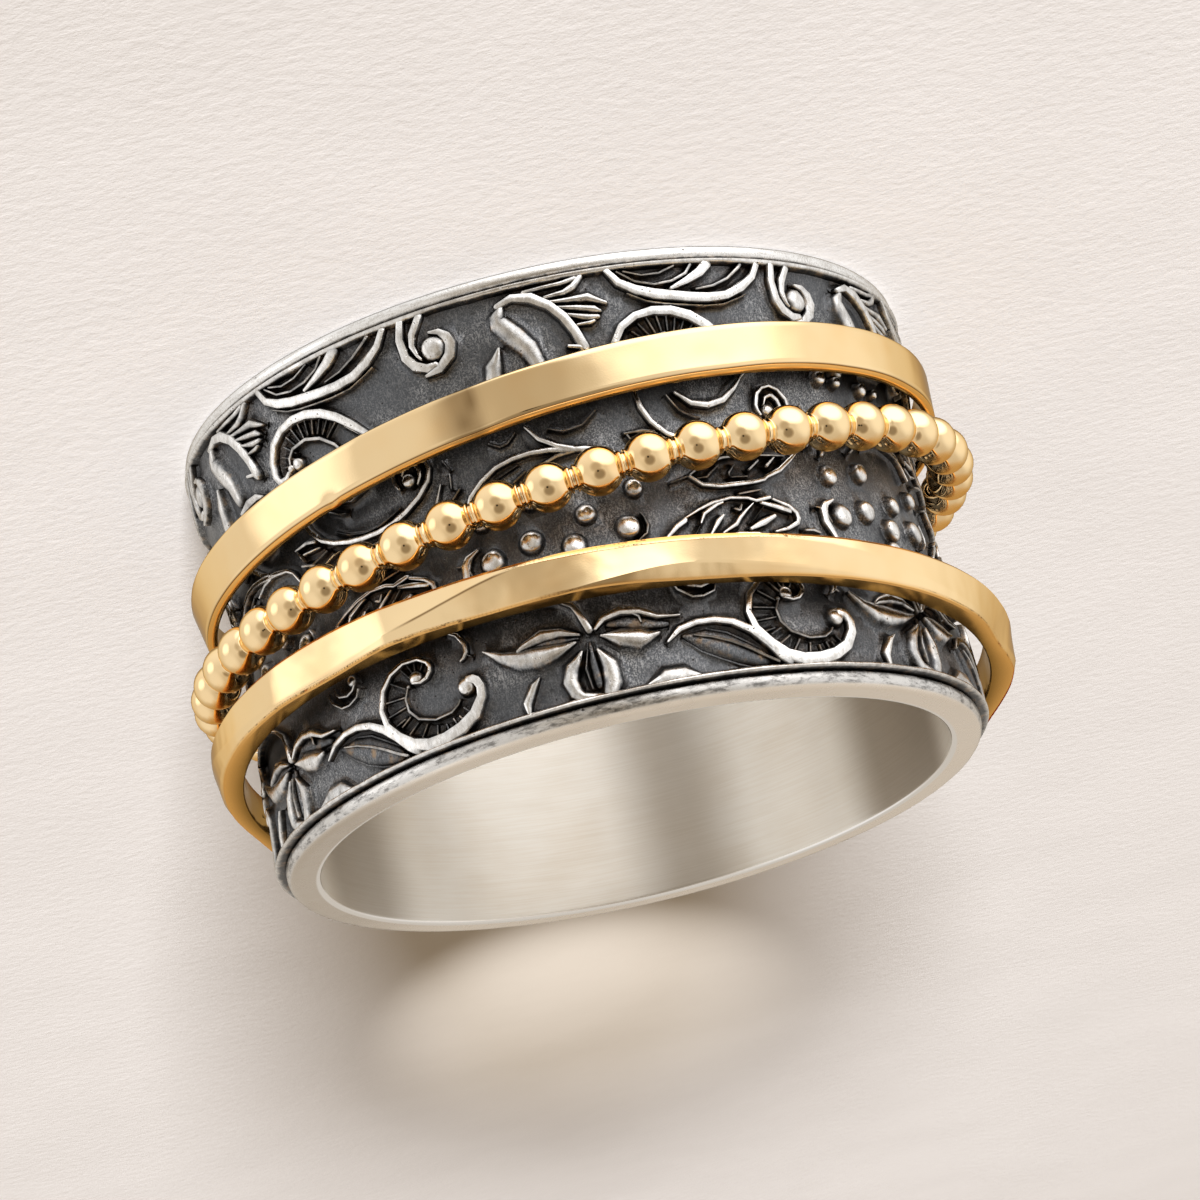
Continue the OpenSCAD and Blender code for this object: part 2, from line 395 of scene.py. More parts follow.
def sector(nodes, angle, band):
    """The share of a band round an angle, which is in radians."""
    middle, inner, outer, share = band
    away = nodes.math("ABSOLUTE", nodes.math("SUBTRACT", angle, math.radians(middle)))
    return nodes.times(nodes.step(away, math.radians(outer), math.radians(inner)), share)


def liner_material():
    """Silver, brushed round the bore, scratched and pitted on the rims, with painted shade and dark
    reflections on the bore and the mouth rim.
    """
    material, nodes, shader, place = new_material("satin_silver")
    x, y, z = nodes.add("ShaderNodeSeparateXYZ", {0: place}).outputs
    angle = nodes.math("ARCTAN2", y, x)
    radius = nodes.math("SQRT", nodes.math("ADD", nodes.times(x, x), nodes.times(y, y)))
    flat = nodes.add("ShaderNodeCombineXYZ", {
        0: nodes.times(angle, BORE_R * MM), 1: z, 2: radius}).outputs[0]

    # Where each part is: the bore, its lip, and the mouth rim's outer side and face
    bore = nodes.step_mm(radius, BORE_R + 0.03, BORE_R + 0.01)
    lip = nodes.times(nodes.step_mm(radius, BORE_R + 0.20, BORE_R + 0.13),
                      nodes.math("SUBTRACT", 1.0, bore))
    mouth = nodes.step_mm(z, RING_H - 0.6, RING_H - 0.5)
    side = nodes.times(mouth, nodes.step_mm(z, RING_H - 0.07, RING_H - 0.14))
    face = nodes.times(mouth, nodes.math("SUBTRACT", 1.0, side))
    smooth = nodes.most(nodes.most(bore, lip), face)

    # Textures: brush lines, broad tones, wear, grain, drag marks, scores and pits
    lines = nodes.noise(flat, 0.035, 4, 0.6, (0.02, 1, 1))
    broad = nodes.noise(flat, 2.5, 2, 0.5)
    wear = nodes.noise(place, 0.6, 3, 0.6)
    fine = nodes.noise(place, 0.06, 4, 0.65)
    drag = nodes.noise(flat, 0.10, 4, 0.65, (0.15, 1, 1))
    scores = nodes.noise(flat, 0.16, 5, 0.7, (0.4, 1, 1))
    pits = nodes.times(nodes.spots(place, 0.32, 0.22), nodes.step(wear, 0.5, 0.62))
    pits = nodes.mix(smooth, pits, 0.0)

    brushed = nodes.mix(0.35, nodes.step(broad, 0.3, 0.8), nodes.step(lines, 0.35, 0.65))
    bore_colour = nodes.blend(brushed, BORE_SILVER, BORE_WARM)
    # Painted dark reflections along the bore, and painted shade on the mouth rim's face and outer edge
    for band in BORE_BANDS:
        bore_colour = nodes.blend(sector(nodes, angle, band), bore_colour, BORE_SHADE)
    far = nodes.times(nodes.step_mm(radius, 9.62, 9.86), sector(nodes, angle, FAR_EDGE))
    face_colour = nodes.blend(sector(nodes, angle, RIM_SHADOW), SILVER_BEIGE, BORE_SHADE)
    face_colour = nodes.blend(far, face_colour, BORE_SHADE)
    side_colour = nodes.blend(nodes.step(scores, 0.68, 0.44), RIM_DARK, RIM_LIGHT)
    colour = nodes.blend(nodes.step(nodes.mix(0.5, fine, drag), 0.44, 0.62), SILVER_WORN, SILVER_DULL)
    # Painted shade: the lowest tenth of a millimetre of the liner is darker grey
    colour = nodes.blend(nodes.step_mm(z, 0.10, 0.02), colour, RIM_GREY)
    for share, part in ((side, side_colour), (face, face_colour), (lip, SILVER), (bore, bore_colour),
                        (pits, POCKET_BROWN)):
        colour = nodes.blend(share, colour, part)

    rough = nodes.mix(bore, nodes.mix(nodes.step(wear, 0.3, 0.7), 0.18, 0.32),
                      nodes.mix(nodes.step(lines, 0.3, 0.7), 0.46, 0.54))
    rough = nodes.mix(lip, rough, 0.10)
    normal = nodes.bump(lines, 0.004, nodes.mix(bore, 0.0, 0.4))
    normal = nodes.bump(nodes.mix(side, fine, scores), 0.010, nodes.mix(smooth, 0.25, 0.0), normal)
    normal = nodes.bump(pits, -0.02, 1.0, normal)
    tangent = nodes.add("ShaderNodeTangent", direction_type="RADIAL", axis="Z").outputs[0]
    nodes.feed(shader, Base_Color=colour, Metallic=1.0, Roughness=rough, Normal=normal,
               Anisotropic=0.85, Anisotropic_Rotation=0.25, Tangent=tangent)
    return material


def sleeve_material():
    """Oxidised silver: bright worn tops, a satin grey ground, dark hollows, painted shade near
    the gold rings and painted warm reflections on the flanks. The mesh keeps its rise above the ground."""
    material, nodes, shader, place = new_material("oxidised_silver")
    rise = nodes.kept("rise")
    openness = nodes.add("ShaderNodeAmbientOcclusion", {"Distance": 0.8 * MM}, samples=4).outputs["AO"]
    stains = nodes.noise(place, 0.35, 4, 0.6)
    cloud = nodes.noise(place, 1.6, 3, 0.5)
    grain = nodes.noise(place, 0.045, 4, 0.7)
    scratches = nodes.noise(place, 0.05, 3, 0.6, (1, 1, 0.3))
    streaks = nodes.noise(place, 0.16, 4, 0.65, (1, 1, 0.45))
    pits = nodes.times(nodes.spots(place, 0.13, 0.3), nodes.step(stains, 0.54, 0.60))

    # Where it is polished, and where the black stays: patina at the strokes' feet and in hollows, and
    # painted shade where the occlusion finds the gold rings close
    uneven = nodes.times(nodes.math("SUBTRACT", stains, 0.5), 0.45)
    polish = nodes.step(nodes.math("ADD", rise, uneven), 0.60, 1.02)
    foot = nodes.times(nodes.step(rise, 0.02, 0.14), nodes.step(rise, 0.30, 0.16))
    # Patina in the hollows, and painted shade next to the gold rings
    patina_and_shade = nodes.step(nodes.math("ADD", openness, nodes.times(uneven, 0.5)), 0.92, 0.45)
    pocket = nodes.times(nodes.most(patina_and_shade, nodes.times(foot, 0.35)), nodes.mix(polish, 1.0, 0.0))

    speckle = nodes.most(nodes.step(grain, 0.46, 0.64), nodes.step(scratches, 0.54, 0.66))
    rubbed = nodes.times(nodes.mix(nodes.step(cloud, 0.40, 0.66), 0.22, 0.95), speckle)
    ground = nodes.blend(rubbed, GROUND_GREY, GROUND_LIGHT)
    ground = nodes.blend(nodes.step(stains, 0.42, 0.22), ground, GROUND_STAIN)
    dark = nodes.blend(nodes.step(stains, 0.45, 0.7), POCKET, POCKET_BROWN)
    # Painted warm reflection: brown in patches on the upper flanks of the strokes
    edge = nodes.times(nodes.step(rise, 0.25, 0.5), nodes.step(stains, 0.48, 0.72))
    tops = nodes.blend(nodes.step(streaks, 0.36, 0.66), SILVER_WORN, SILVER_DULL)
    colour = ground
    for share, part in ((pocket, dark), (edge, FLANK_REFLECTION_BROWN), (polish, tops),
                        (nodes.times(pits, 0.8), POCKET)):
        colour = nodes.blend(share, colour, part)

    rough = nodes.mix(polish, nodes.mix(grain, 0.34, 0.50), nodes.mix(grain, 0.10, 0.26))
    height = nodes.math("ADD", nodes.times(grain, 0.6), nodes.times(stains, 0.5))
    normal = nodes.bump(height, 0.010, nodes.mix(polish, 0.8, 0.45))
    normal = nodes.bump(scratches, 0.004, 0.2, normal)
    normal = nodes.bump(pits, -0.02, 0.8, normal)
    nodes.feed(shader, Base_Color=colour, Metallic=1.0, Roughness=rough, Normal=normal)
    return material


def floor_material():
    """Pale matt paper with a faint mottle, and painted shade that darkens it away from a point behind
    the ring.
    """
    material, nodes, shader, place = new_material("floor_paper")
    mottle = nodes.noise(place, 9.0, 4, 0.6)
    fibres = nodes.noise(place, 0.5, 5, 0.7)
    away = nodes.add("ShaderNodeVectorMath", {0: place, 1: (-0.015, 0.060, 0)},
                     operation="DISTANCE").outputs["Value"]
    colour = nodes.blend(nodes.step(mottle, 0.3, 0.7), PAPER, PAPER_LIGHT)
    # Painted shade: the paper darkens with distance from that point
    colour = nodes.blend(nodes.step_mm(away, 65, 140), colour, PAPER_PAINTED_SHADE)
    nodes.feed(shader, Base_Color=colour, Roughness=0.9, Specular_IOR_Level=0.1,
               Normal=nodes.bump(fibres, 0.03, 0.5))
    return material


# Liner

def liner_section():
    """From the bore's foot, round the foot rim, up the wall and over the mouth."""
    under_mouth = RING_H - MOUTH_H
    points = rounded(BORE_R, 0, BORE_ROUND, 180, 6)
    points += line((BORE_R + BORE_ROUND, 0), (FOOT_R - FOOT_ROUND, 0), 6)
    points += rounded(FOOT_R, 0, FOOT_ROUND, -90, 9)
    points += rounded(FOOT_R, FOOT_H, FOOT_ROUND, 0, 9)
    points += line((FOOT_R - FOOT_ROUND, FOOT_H), (LINER_WALL_R, FOOT_H), 3)
    points += [(LINER_WALL_R, FOOT_H), (LINER_WALL_R, under_mouth)]
    points += line((LINER_WALL_R, under_mouth), (MOUTH_R - MOUTH_LOW_ROUND, under_mouth), 2)
    points += rounded(MOUTH_R, under_mouth, MOUTH_LOW_ROUND, -90, 4)
    points += rounded(MOUTH_R, RING_H, MOUTH_ROUND, 0, 8)
    points += line((MOUTH_R - MOUTH_ROUND, RING_H), (BORE_R + BORE_ROUND, RING_H), 5)
    points += rounded(BORE_R, RING_H, BORE_ROUND, 90, 6)
    points += line((BORE_R, RING_H - BORE_ROUND), (BORE_R, BORE_ROUND), 14)
    return points


def build_liner(material):
    def place(r, z, a):
        """Small dents towards the axis and the middle, weaker away from the rims."""
        spot = (*polar(r, a), z)
        dent = min(0.010 * ripple(spot, 1.1, 1) + 0.006 * ripple(spot, 0.35, 2), 0.0)
        if r <= LINER_WALL_R + 0.05:
            dent *= 0.25
        if z > RING_H - 0.01:
            z += dent
        elif z < 0.01:
            z -= dent
        return r + dent, z

    points, faces = lathe(liner_section(), LINER_STEPS, place)
    thing = mesh_object("liner_shell", points, faces, 50)
    finish_piece(thing, material, "band", "liner")


# Sleeve relief. The columns of each row are around, along and width in
# millimetres. Around runs from the middle of the flower and one repeat is 10.7.

# Sections of a stroke from its edge to its middle: share of the half width, and of the height
ROUND = [(1, 0.30), (0.93, 0.72), (0.72, 0.94), (0.30, 1.0)]
THIN = [(1, 0.35), (0.60, 0.92), (0, 1.0)]
DOME = [(1, 0.28), (0.90, 0.55), (0.72, 0.80), (0.42, 0.95), (0, 1.0)]

ROUND_STROKES = [
    # Flower stem and the vine that it grows from
    [(.04, 10.36, .2), (-.02, 10.15, .19), (-.12, 9.9, .17), (-.22, 9.65, .15), (-.45, 9.45, .12),
     (-.7, 9.3, .1), (-1.3, 9.08, .1), (-2, 9, .1), (-2.8, 9, .1), (-3.4, 9.1, .1), (-3.85, 9.28, .06)],
    # Flower petal rim and curl
    [(.2, 10.4, .08), (.42, 10.16, .18), (.8, 10.04, .24), (1.2, 10.04, .24), (1.6, 10.2, .17),
     (1.95, 10.4, .12), (2.5, 10.46, .05)],
    # Blade above the flower's right
    [(2.02, 11.16, .05), (2.2, 10.98, .12), (2.45, 10.84, .16), (2.85, 10.74, .17), (3.3, 10.72, .18),
     (3.75, 10.8, .2), (4.15, 10.98, .22), (4.5, 11.25, .24), (4.8, 11.55, .26), (5.05, 11.85, .3),
     (5.3, 12.05, .3)],
    # Crescent
    [(5.6, 10.28, .08), (5.79, 10.35, .09), (6, 10.32, .1), (6.15, 10.2, .12), (6.21, 10.04, .13),
     (6.15, 9.86, .13), (5.98, 9.72, .13), (5.71, 9.62, .13), (5.4, 9.62, .14), (5.1, 9.7, .15),
     (4.83, 9.84, .16), (4.6, 10.08, .17), (4.46, 10.4, .17), (4.42, 10.7, .17), (4.48, 11, .19),
     (4.63, 11.28, .22), (4.88, 11.58, .26), (5.2, 11.86, .3), (5.58, 12.02, .32), (6, 12.08, .34),
     (6.42, 12.05, .34), (6.83, 11.94, .34), (7.17, 11.76, .34), (7.43, 11.5, .3), (7.56, 11.2, .26),
     (7.54, 10.95, .24), (7.4, 10.78, .24), (7.2, 10.75, .22)],
    # Twig beside the crescent
    [(6.85, 9.28, .05), (7.1, 9.4, .1), (7.3, 9.65, .12), (7.36, 9.9, .12), (7.3, 10.08, .1),
     (7.15, 10.2, .04)],
    # Fan at the foot
    [(2.66, .56, .16), (2.8, .85, .2), (3.05, 1.08, .24), (3.4, 1.25, .26), (3.8, 1.38, .28),
     (4.2, 1.45, .28), (5, 1.56, .26), (5.8, 1.55, .25), (6.4, 1.35, .24), (6.9, 1, .2),
     (7.15, .6, .18)],
    [(4.35, 1.28, .08), (4.7, 1.15, .16), (5.05, .98, .24), (5.35, .8, .28), (5.55, .6, .28)],
    # Hook and its ball
    [(7.68, .56, .2), (7.6, .85, .22), (7.56, 1.15, .22), (7.58, 1.45, .24), (7.68, 1.75, .26),
     (7.9, 1.98, .26), (8.15, 2.08, .22), (8.4, 2.05, .14)],
    [(8.22, .6, .2), (8.04, .85, .22), (7.9, 1.1, .2), (7.86, 1.35, .16), (7.92, 1.6, .1),
     (8.04, 1.78, .05)],
    [(8.38, 1.12, .06), (8.62, 1.16, .16), (8.82, 1.34, .26), (8.9, 1.6, .3), (8.82, 1.88, .3),
     (8.62, 2.1, .28), (8.35, 2.24, .2), (8.05, 2.28, .08)],
    # Bell flower: stem, foot and lobes
    [(-.4, .98, .14), (-.1, .84, .2), (.25, .84, .28), (.6, .98, .3), (.95, 1.25, .27),
     (1.25, 1.6, .26), (1.45, 1.95, .26), (1.58, 2.3, .26), (1.68, 2.6, .28)],
    [(1.25, 2.48, .08), (1.5, 2.52, .12), (1.75, 2.68, .06)],
    # Arch
    [(3, 3.12, .12), (2.85, 3.22, .16), (2.6, 3.22, .18), (2.45, 3.05, .2), (2.43, 2.8, .2),
     (2.52, 2.5, .21), (2.72, 2.22, .22), (3, 2.02, .22), (3.3, 1.9, .23), (3.65, 1.85, .24),
     (4.05, 1.87, .25), (4.45, 1.97, .26), (4.85, 2.15, .27), (5.2, 2.4, .26), (5.5, 2.68, .24),
     (5.75, 2.95, .2), (6, 3.2, .16), (6.2, 3.5, .1)],
    # Paisley
    [(2.75, 3.9, .12), (2.78, 4.2, .15), (2.88, 4.55, .16), (3.05, 4.88, .15), (3.25, 5.15, .14),
     (3.6, 5.4, .14), (4.05, 5.6, .14), (4.6, 5.74, .14), (5.2, 5.8, .14), (5.75, 5.78, .14),
     (6.25, 5.65, .14), (6.7, 5.45, .14), (7.1, 5.18, .14), (7.35, 4.9, .13), (7.42, 4.6, .12),
     (7.32, 4.35, .12), (7.1, 4.15, .11), (6.8, 4.07, .11), (6.52, 4.17, .11), (6.35, 4.4, .11),
     (6.3, 4.7, .1), (6.4, 4.92, .08)],
    [(3.88, 4.15, .1), (4.05, 4.32, .15), (4.35, 4.5, .18), (4.75, 4.58, .18), (5.15, 4.52, .18),
     (5.5, 4.33, .17), (5.75, 4.08, .12), (5.9, 3.9, .08)],
    # Lens and the stem under it
    [(-2.4, 5.99, .1), (-2.32, 5.83, .12), (-2.03, 5.58, .12), (-1.57, 5.28, .13), (-1.07, 5.14, .13),
     (-.48, 5.1, .14), (.02, 5.14, .14), (.43, 5.2, .16), (.98, 5.3, .16), (1.39, 5.37, .13),
     (1.81, 5.52, .1), (2.04, 5.78, .08), (2.2, 6.05, .06)],
    [(-.38, 4.35, .08), (-.28, 4.55, .11), (-.12, 4.75, .12), (.1, 4.93, .13), (.43, 5.1, .13),
     (.77, 5.22, .12)],
    # Comma
    [(8.25, 7.33, .06), (8, 7.42, .14), (7.82, 7.6, .2), (7.76, 7.85, .22), (7.8, 8.1, .2),
     (7.92, 8.35, .18), (8, 8.55, .12)],
    # First leaf: lower edge
    [(3.74, 6.58, .07), (3.9, 6.75, .1), (4.15, 6.88, .12), (4.6, 6.93, .12), (5.1, 6.91, .12),
     (5.6, 6.87, .1), (5.95, 6.82, .1), (6.1, 6.72, .1), (6.4, 6.62, .12), (6.65, 6.5, .13),
     (6.85, 6.35, .12), (7.1, 6.2, .12), (7.3, 6.05, .07)],
    # Second leaf: tip, upper edge and lobes
    [(2.66, 8.28, .08), (2.8, 8.12, .12), (3.05, 7.97, .14), (3.3, 7.85, .14), (3.35, 7.78, .1)],
    [(3.3, 7.75, .06), (3.6, 7.62, .08), (3.95, 7.45, .08), (4.3, 7.36, .09), (4.65, 7.3, .09),
     (5, 7.28, .08), (5.35, 7.33, .09), (5.6, 7.42, .1), (5.85, 7.36, .12), (6.05, 7.33, .1)],
    [(5.7, 7.5, .1), (6, 7.55, .14), (6.3, 7.68, .15), (6.6, 7.76, .13)],
    [(6.56, 4.62, .05), (6.66, 4.42, .1), (6.88, 4.34, .12), (7.08, 4.5, .12), (7.12, 4.74, .1),
     (6.98, 4.98, .06)],
    [(6.1, 7.4, .08), (6.35, 7.5, .08), (6.6, 7.62, .12), (6.78, 7.8, .15), (6.78, 8.02, .14),
     (6.62, 8.18, .12), (6.3, 8.28, .1), (5.9, 8.35, .06)],
    [(4.3, 8.42, .06), (4.75, 8.36, .14), (5.2, 8.38, .16), (5.6, 8.46, .08)],
    [(3.75, 7.95, .04), (3.85, 7.75, .1), (4.05, 7.58, .12), (4.3, 7.48, .1), (4.55, 7.42, .05)],
    [(3.95, 8.3, .05), (4.1, 8.08, .1), (4.3, 7.9, .14), (4.47, 7.77, .06)],
    [(4.3, 8.3, .05), (4.6, 8.15, .1), (4.85, 8, .13), (5, 7.8, .1), (5.25, 7.65, .08),
     (5.45, 7.5, .04)],
    [(5.15, 8.24, .08), (5.5, 8.12, .18), (5.8, 7.97, .2), (6.05, 7.88, .1)],
    # Swirl in the gap between the paisley and the arch
    [(.3, 3.2, .08), (.7, 3.12, .2), (1, 3.08, .26), (1.3, 3.1, .2), (1.6, 3.2, .08)],
]

THIN_STROKES = [
    [(1.15, 10.05, .1), (1.4, 10.25, .09), (1.45, 10.45, .07)],
    [(-.1, 10.9, .04), (-.24, 11.2, .06), (-.27, 11.6, .06), (-.2, 11.97, .05)],
    [(2.75, 11.07, .05), (3.2, 11.18, .08), (3.65, 11.36, .09), (4.1, 11.6, .1), (4.5, 11.86, .1),
     (4.95, 12.1, .1)],
    [(5.38, 10.35, .06), (5.27, 10.54, .08), (5.25, 10.79, .09), (5.33, 11.04, .09), (5.5, 11.24, .09),
     (5.76, 11.4, .09), (6.1, 11.48, .09), (6.46, 11.47, .09), (6.72, 11.37, .08), (6.88, 11.2, .06)],
    [(2.48, 9.45, .07), (2.55, 9.65, .08), (2.75, 9.87, .08), (3.05, 10.02, .08), (3.35, 10, .08),
     (3.62, 9.9, .07), (3.72, 9.7, .05)],
    [(2.8, 9.4, .06), (2.85, 9.6, .08), (3.05, 9.72, .09), (3.3, 9.75, .09), (3.5, 9.68, .08),
     (3.6, 9.55, .08)],
    [(7.33, 10.05, .06), (7.45, 10.15, .03)],
    [(3.1, 1.3, .05), (3.8, 1.62, .06), (5, 1.8, .06), (5.9, 1.78, .06), (6.6, 1.5, .05)],
    [(2.95, .62, .06), (3.2, .85, .07), (3.6, 1.05, .08), (4.1, 1.1, .08), (4.6, 1, .1),
     (4.95, .8, .1), (5.1, .58, .1)],
    [(3.12, .62, .06), (3.45, .76, .07), (3.87, .82, .08), (4.25, .75, .07), (4.58, .6, .06)],
    [(5.08, 1.32, .06), (5.6, 1.24, .08), (6.05, 1.05, .09), (6.4, .82, .1), (6.65, .6, .12)],
    [(6.22, 1.3, .06), (6.6, 1.1, .08), (6.95, .85, .1), (7.1, .6, .12)],
    [(3.1, 2.95, .07), (3.15, 2.75, .1), (3.35, 2.58, .11), (3.65, 2.5, .12), (4, 2.52, .12),
     (4.3, 2.62, .12), (4.6, 2.82, .12), (4.85, 3.05, .12), (5.05, 3.3, .1), (5.15, 3.55, .06)],
    [(5.3, 2.7, .05), (5.6, 3, .06), (5.85, 3.2, .05)],
    [(3.63, 4.2, .05), (3.75, 4.45, .06), (3.98, 4.7, .06), (4.25, 4.85, .06), (4.5, 4.9, .04)],
    [(2.22, 5.1, .06), (2.45, 5.06, .1), (2.8, 5.08, .12), (3.1, 5.16, .1)],
    [(2.3, 5.15, .08), (2.36, 5.32, .08), (2.47, 5.5, .04)],
    [(2.36, 5.6, .08), (2.6, 5.7, .12), (2.85, 5.76, .1)],
    [(2.82, 5.75, .05), (3.15, 5.7, .06), (3.5, 5.6, .05)],
    [(3.2, 5.97, .07), (3.4, 5.9, .1), (3.65, 5.84, .08), (4, 5.81, .05)],
    [(-.25, 5.5, .08), (.06, 5.36, .12), (.48, 5.3, .14), (.8, 5.3, .1)],
    [(-1.07, 5.78, .08), (-.9, 5.64, .1), (-.69, 5.55, .05)],
    [(.2, 4.55, .04), (.4, 4.66, .06), (.75, 4.72, .07), (1.1, 4.66, .07), (1.4, 4.5, .06),
     (1.6, 4.28, .04)],
    [(-2.86, 4.6, .06), (-2.8, 4.75, .1), (-2.72, 4.9, .04)],
    [(-2.75, 5, .06), (-2.8, 5.25, .09), (-2.8, 5.42, .04)],
    [(-2.57, 5.5, .08), (-2.72, 5.65, .12), (-2.9, 5.78, .05)],
    [(-3.1, 5.2, .05), (-3.2, 5.45, .1), (-3.42, 5.8, .12)],
    [(7.55, 7.6, .04), (7.7, 7.62, .08)],
    [(3.2, 6.68, .05), (3.45, 6.62, .09), (3.7, 6.57, .06)],
    [(3.8, 6.5, .06), (4.4, 6.2, .08), (5.2, 6.08, .08), (6.1, 6.05, .08), (6.9, 6.1, .06)],
    [(4, 6.62, .04), (4.3, 6.6, .07), (4.45, 6.45, .06), (4.7, 6.3, .04)],
    [(4.98, 6.62, .06), (5, 6.5, .07), (5.2, 6.32, .05)],
    [(5, 6.68, .05), (5.25, 6.66, .07), (5.5, 6.68, .05)],
    [(5.6, 6.48, .08), (5.78, 6.36, .09), (5.98, 6.22, .05)],
    [(6.2, 6.4, .1), (6.35, 6.28, .12), (6.52, 6.14, .06)],
    [(5.1, 7.18, .06), (5.35, 7.14, .1), (5.6, 7.12, .08), (5.82, 7.1, .04)],
    [(4.85, 7.6, .06), (5, 7.65, .12), (5.1, 7.5, .05)],
    [(5.25, 8.02, .03), (5.5, 7.8, .05), (5.75, 7.6, .04)],
    [(3.5, 8.25, .04), (3.6, 8.1, .08), (3.7, 8.02, .04)],
    [(6.95, 8.3, .08), (7.2, 8.28, .14), (7.45, 8.38, .08)],
    [(1.9, 8.2, .04), (2.2, 8, .07), (2.28, 7.7, .07), (2.15, 7.4, .04)],
    [(-2.7, 8.05, .04), (-2.78, 7.75, .07), (-2.6, 7.45, .04)],
    [(5.9, 3.9, .06), (6.2, 3.6, .1), (6.6, 3.45, .05)],
]

DOME_STROKES = [
    # Petals, bell lobes and leaves
    [(.29, 10.6, .06), (.7, 10.72, .46), (1.1, 10.84, .64), (1.45, 10.9, .56), (1.72, 10.88, .3),
     (1.86, 10.84, .06)],
    [(-.25, 10.44, .08), (-.73, 10.24, .26), (-1.18, 10.18, .36), (-1.55, 10.23, .32),
     (-1.95, 10.42, .1)],
    [(-.36, 10.62, .08), (-.84, 10.7, .4), (-1.38, 10.74, .58), (-1.9, 10.7, .58), (-2.33, 10.53, .4),
     (-2.88, 10.14, .06)],
    [(-.26, 10.9, .08), (-.56, 11.18, .38), (-.75, 11.6, .44), (-.66, 11.98, .4), (-.4, 12.18, .3),
     (.08, 12.22, .1)],
    [(.14, 10.95, .08), (.36, 11.28, .4), (.42, 11.65, .52), (.36, 12.0, .46), (.24, 12.22, .38)],
    # Half dot at the mouth
    [(1.25, 12.22, .06), (1.55, 12.13, .42), (2.0, 12.07, .62), (2.45, 12.13, .42), (2.75, 12.22, .06)],
    # Small leaf at the mouth
    [(-2.0, 12.2, .12), (-2.02, 11.98, .26), (-1.92, 11.72, .34), (-1.72, 11.48, .24),
     (-1.52, 11.32, .05)],
    [(.38, .74, .12), (.9, .72, .13), (1.4, .7, .14), (1.8, .62, .18)],
    [(.9, 1, .08), (1.3, .98, .16), (1.62, .9, .22), (1.8, .74, .22), (1.95, .6, .2)],
    [(1, 1.16, .08), (1.4, 1.2, .15), (1.75, 1.2, .18), (2, 1.2, .28), (2.25, 1.32, .26),
     (2.5, 1.47, .1)],
    [(1.15, 1.35, .08), (1.5, 1.42, .15), (1.9, 1.5, .2), (2.15, 1.56, .22), (2.3, 1.66, .1)],
    [(1.4, 1.6, .08), (1.7, 1.72, .18), (2, 1.78, .22), (2.22, 1.8, .14)],
    [(1.6, 1.95, .08), (1.85, 1.98, .18), (2.08, 1.92, .1)],
    [(-.58, 2.1, .08), (-.72, 2.3, .36), (-.85, 2.6, .5), (-.9, 3, .52), (-.95, 3.4, .4)],
    # Bell bud
    [(-.3, 1.05, .2), (-.46, 1.28, .42), (-.4, 1.52, .56), (-.15, 1.82, .6), (.1, 2.12, .56),
     (.28, 2.45, .48), (.36, 2.8, .42)],
    [(2.58, 5.36, .1), (2.9, 5.38, .14), (3.28, 5.42, .05)],
]

# Soft low bodies under the strokes
LOW_STROKES = [
    [(-.02, 10.7, .1), (-.05, 11.1, .26), (-.03, 11.5, .3), (-.02, 11.9, .26)],
    [(-.3, 10.5, .1), (-.8, 10.45, .3), (-1.4, 10.45, .4), (-2, 10.5, .2)],
    [(2.5, 11.02, .1), (2.9, 11.15, .5), (3.4, 11.36, .72), (3.95, 11.66, .7), (4.55, 11.95, .5)],
    [(.6, 10.3, .2), (1.1, 10.35, .4), (1.6, 10.5, .4), (2.1, 10.6, .2)],
    [(3.9, 5.2, .05), (4.3, 5.45, .08), (4.9, 5.62, .08), (5.6, 5.6, .08), (6.2, 5.4, .05)],
    [(-1.5, 5.5, .06), (-1.2, 5.42, .08), (-.85, 5.3, .06)],
    [(-1.5, 4.5, .05), (-1.2, 4.68, .09), (-.9, 4.6, .09), (-.7, 4.4, .05)],
]

# Crescent ribs from the outer line to the inner one: around and along of each end
CRESCENT_RIBS = [
    (4.85, 10.02, 5.3, 10.33), (4.6, 10.48, 5.25, 10.55), (4.6, 10.88, 5.2, 10.82),
    (4.78, 11.2, 5.1, 11.12), (4.95, 11.3, 5.28, 11.13), (5.15, 11.58, 5.48, 11.37),
    (5.52, 11.8, 5.75, 11.5), (5.98, 11.93, 6.05, 11.62), (6.38, 11.95, 6.33, 11.68),
    (6.67, 11.85, 6.57, 11.6), (6.9, 11.78, 6.77, 11.6), (7.12, 11.6, 6.95, 11.42),
    (5.2, 9.72, 5.5, 10.1), (5.45, 9.68, 5.6, 9.98), (5.7, 9.72, 5.68, 9.95), (5.98, 9.8, 5.85, 10)]
RIB_W = 0.07

# Arch ribs: middle around and along, inner and outer radius, angles and count
ARCH_RIBS = (4.0, 3.2, 0.78, 1.28, 165, 35, 11)

# Berries and balls: around, along and radius
BERRIES = [
    (-2.2, 6.55, .28), (-2.12, 7.76, .33), (-.95, 7.52, .31), (-.75, 6.35, .28), (.18, 7.92, .32),
    (.68, 7.1, .27), (1.75, 7.7, .32), (2.15, 6.62, .25), (-.1, 8.6, .25), (1.4, 8.6, .2),
    (5.69, 10.15, .2), (7.12, 10.88, .24), (5.4, 10.3, .07), (3.5, 9.42, .16),
    (3.1, 3.05, .13), (3.4, 3.03, .19), (6.72, 4.78, .2), (8.40, 1.56, .33), (5.1, 9, .18),
    (5.7, 8.95, .15), (-1.8, 3.7, .2), (-1.1, 3.75, .16), (.2, 3.75, .2), (.9, 3.75, .15)]

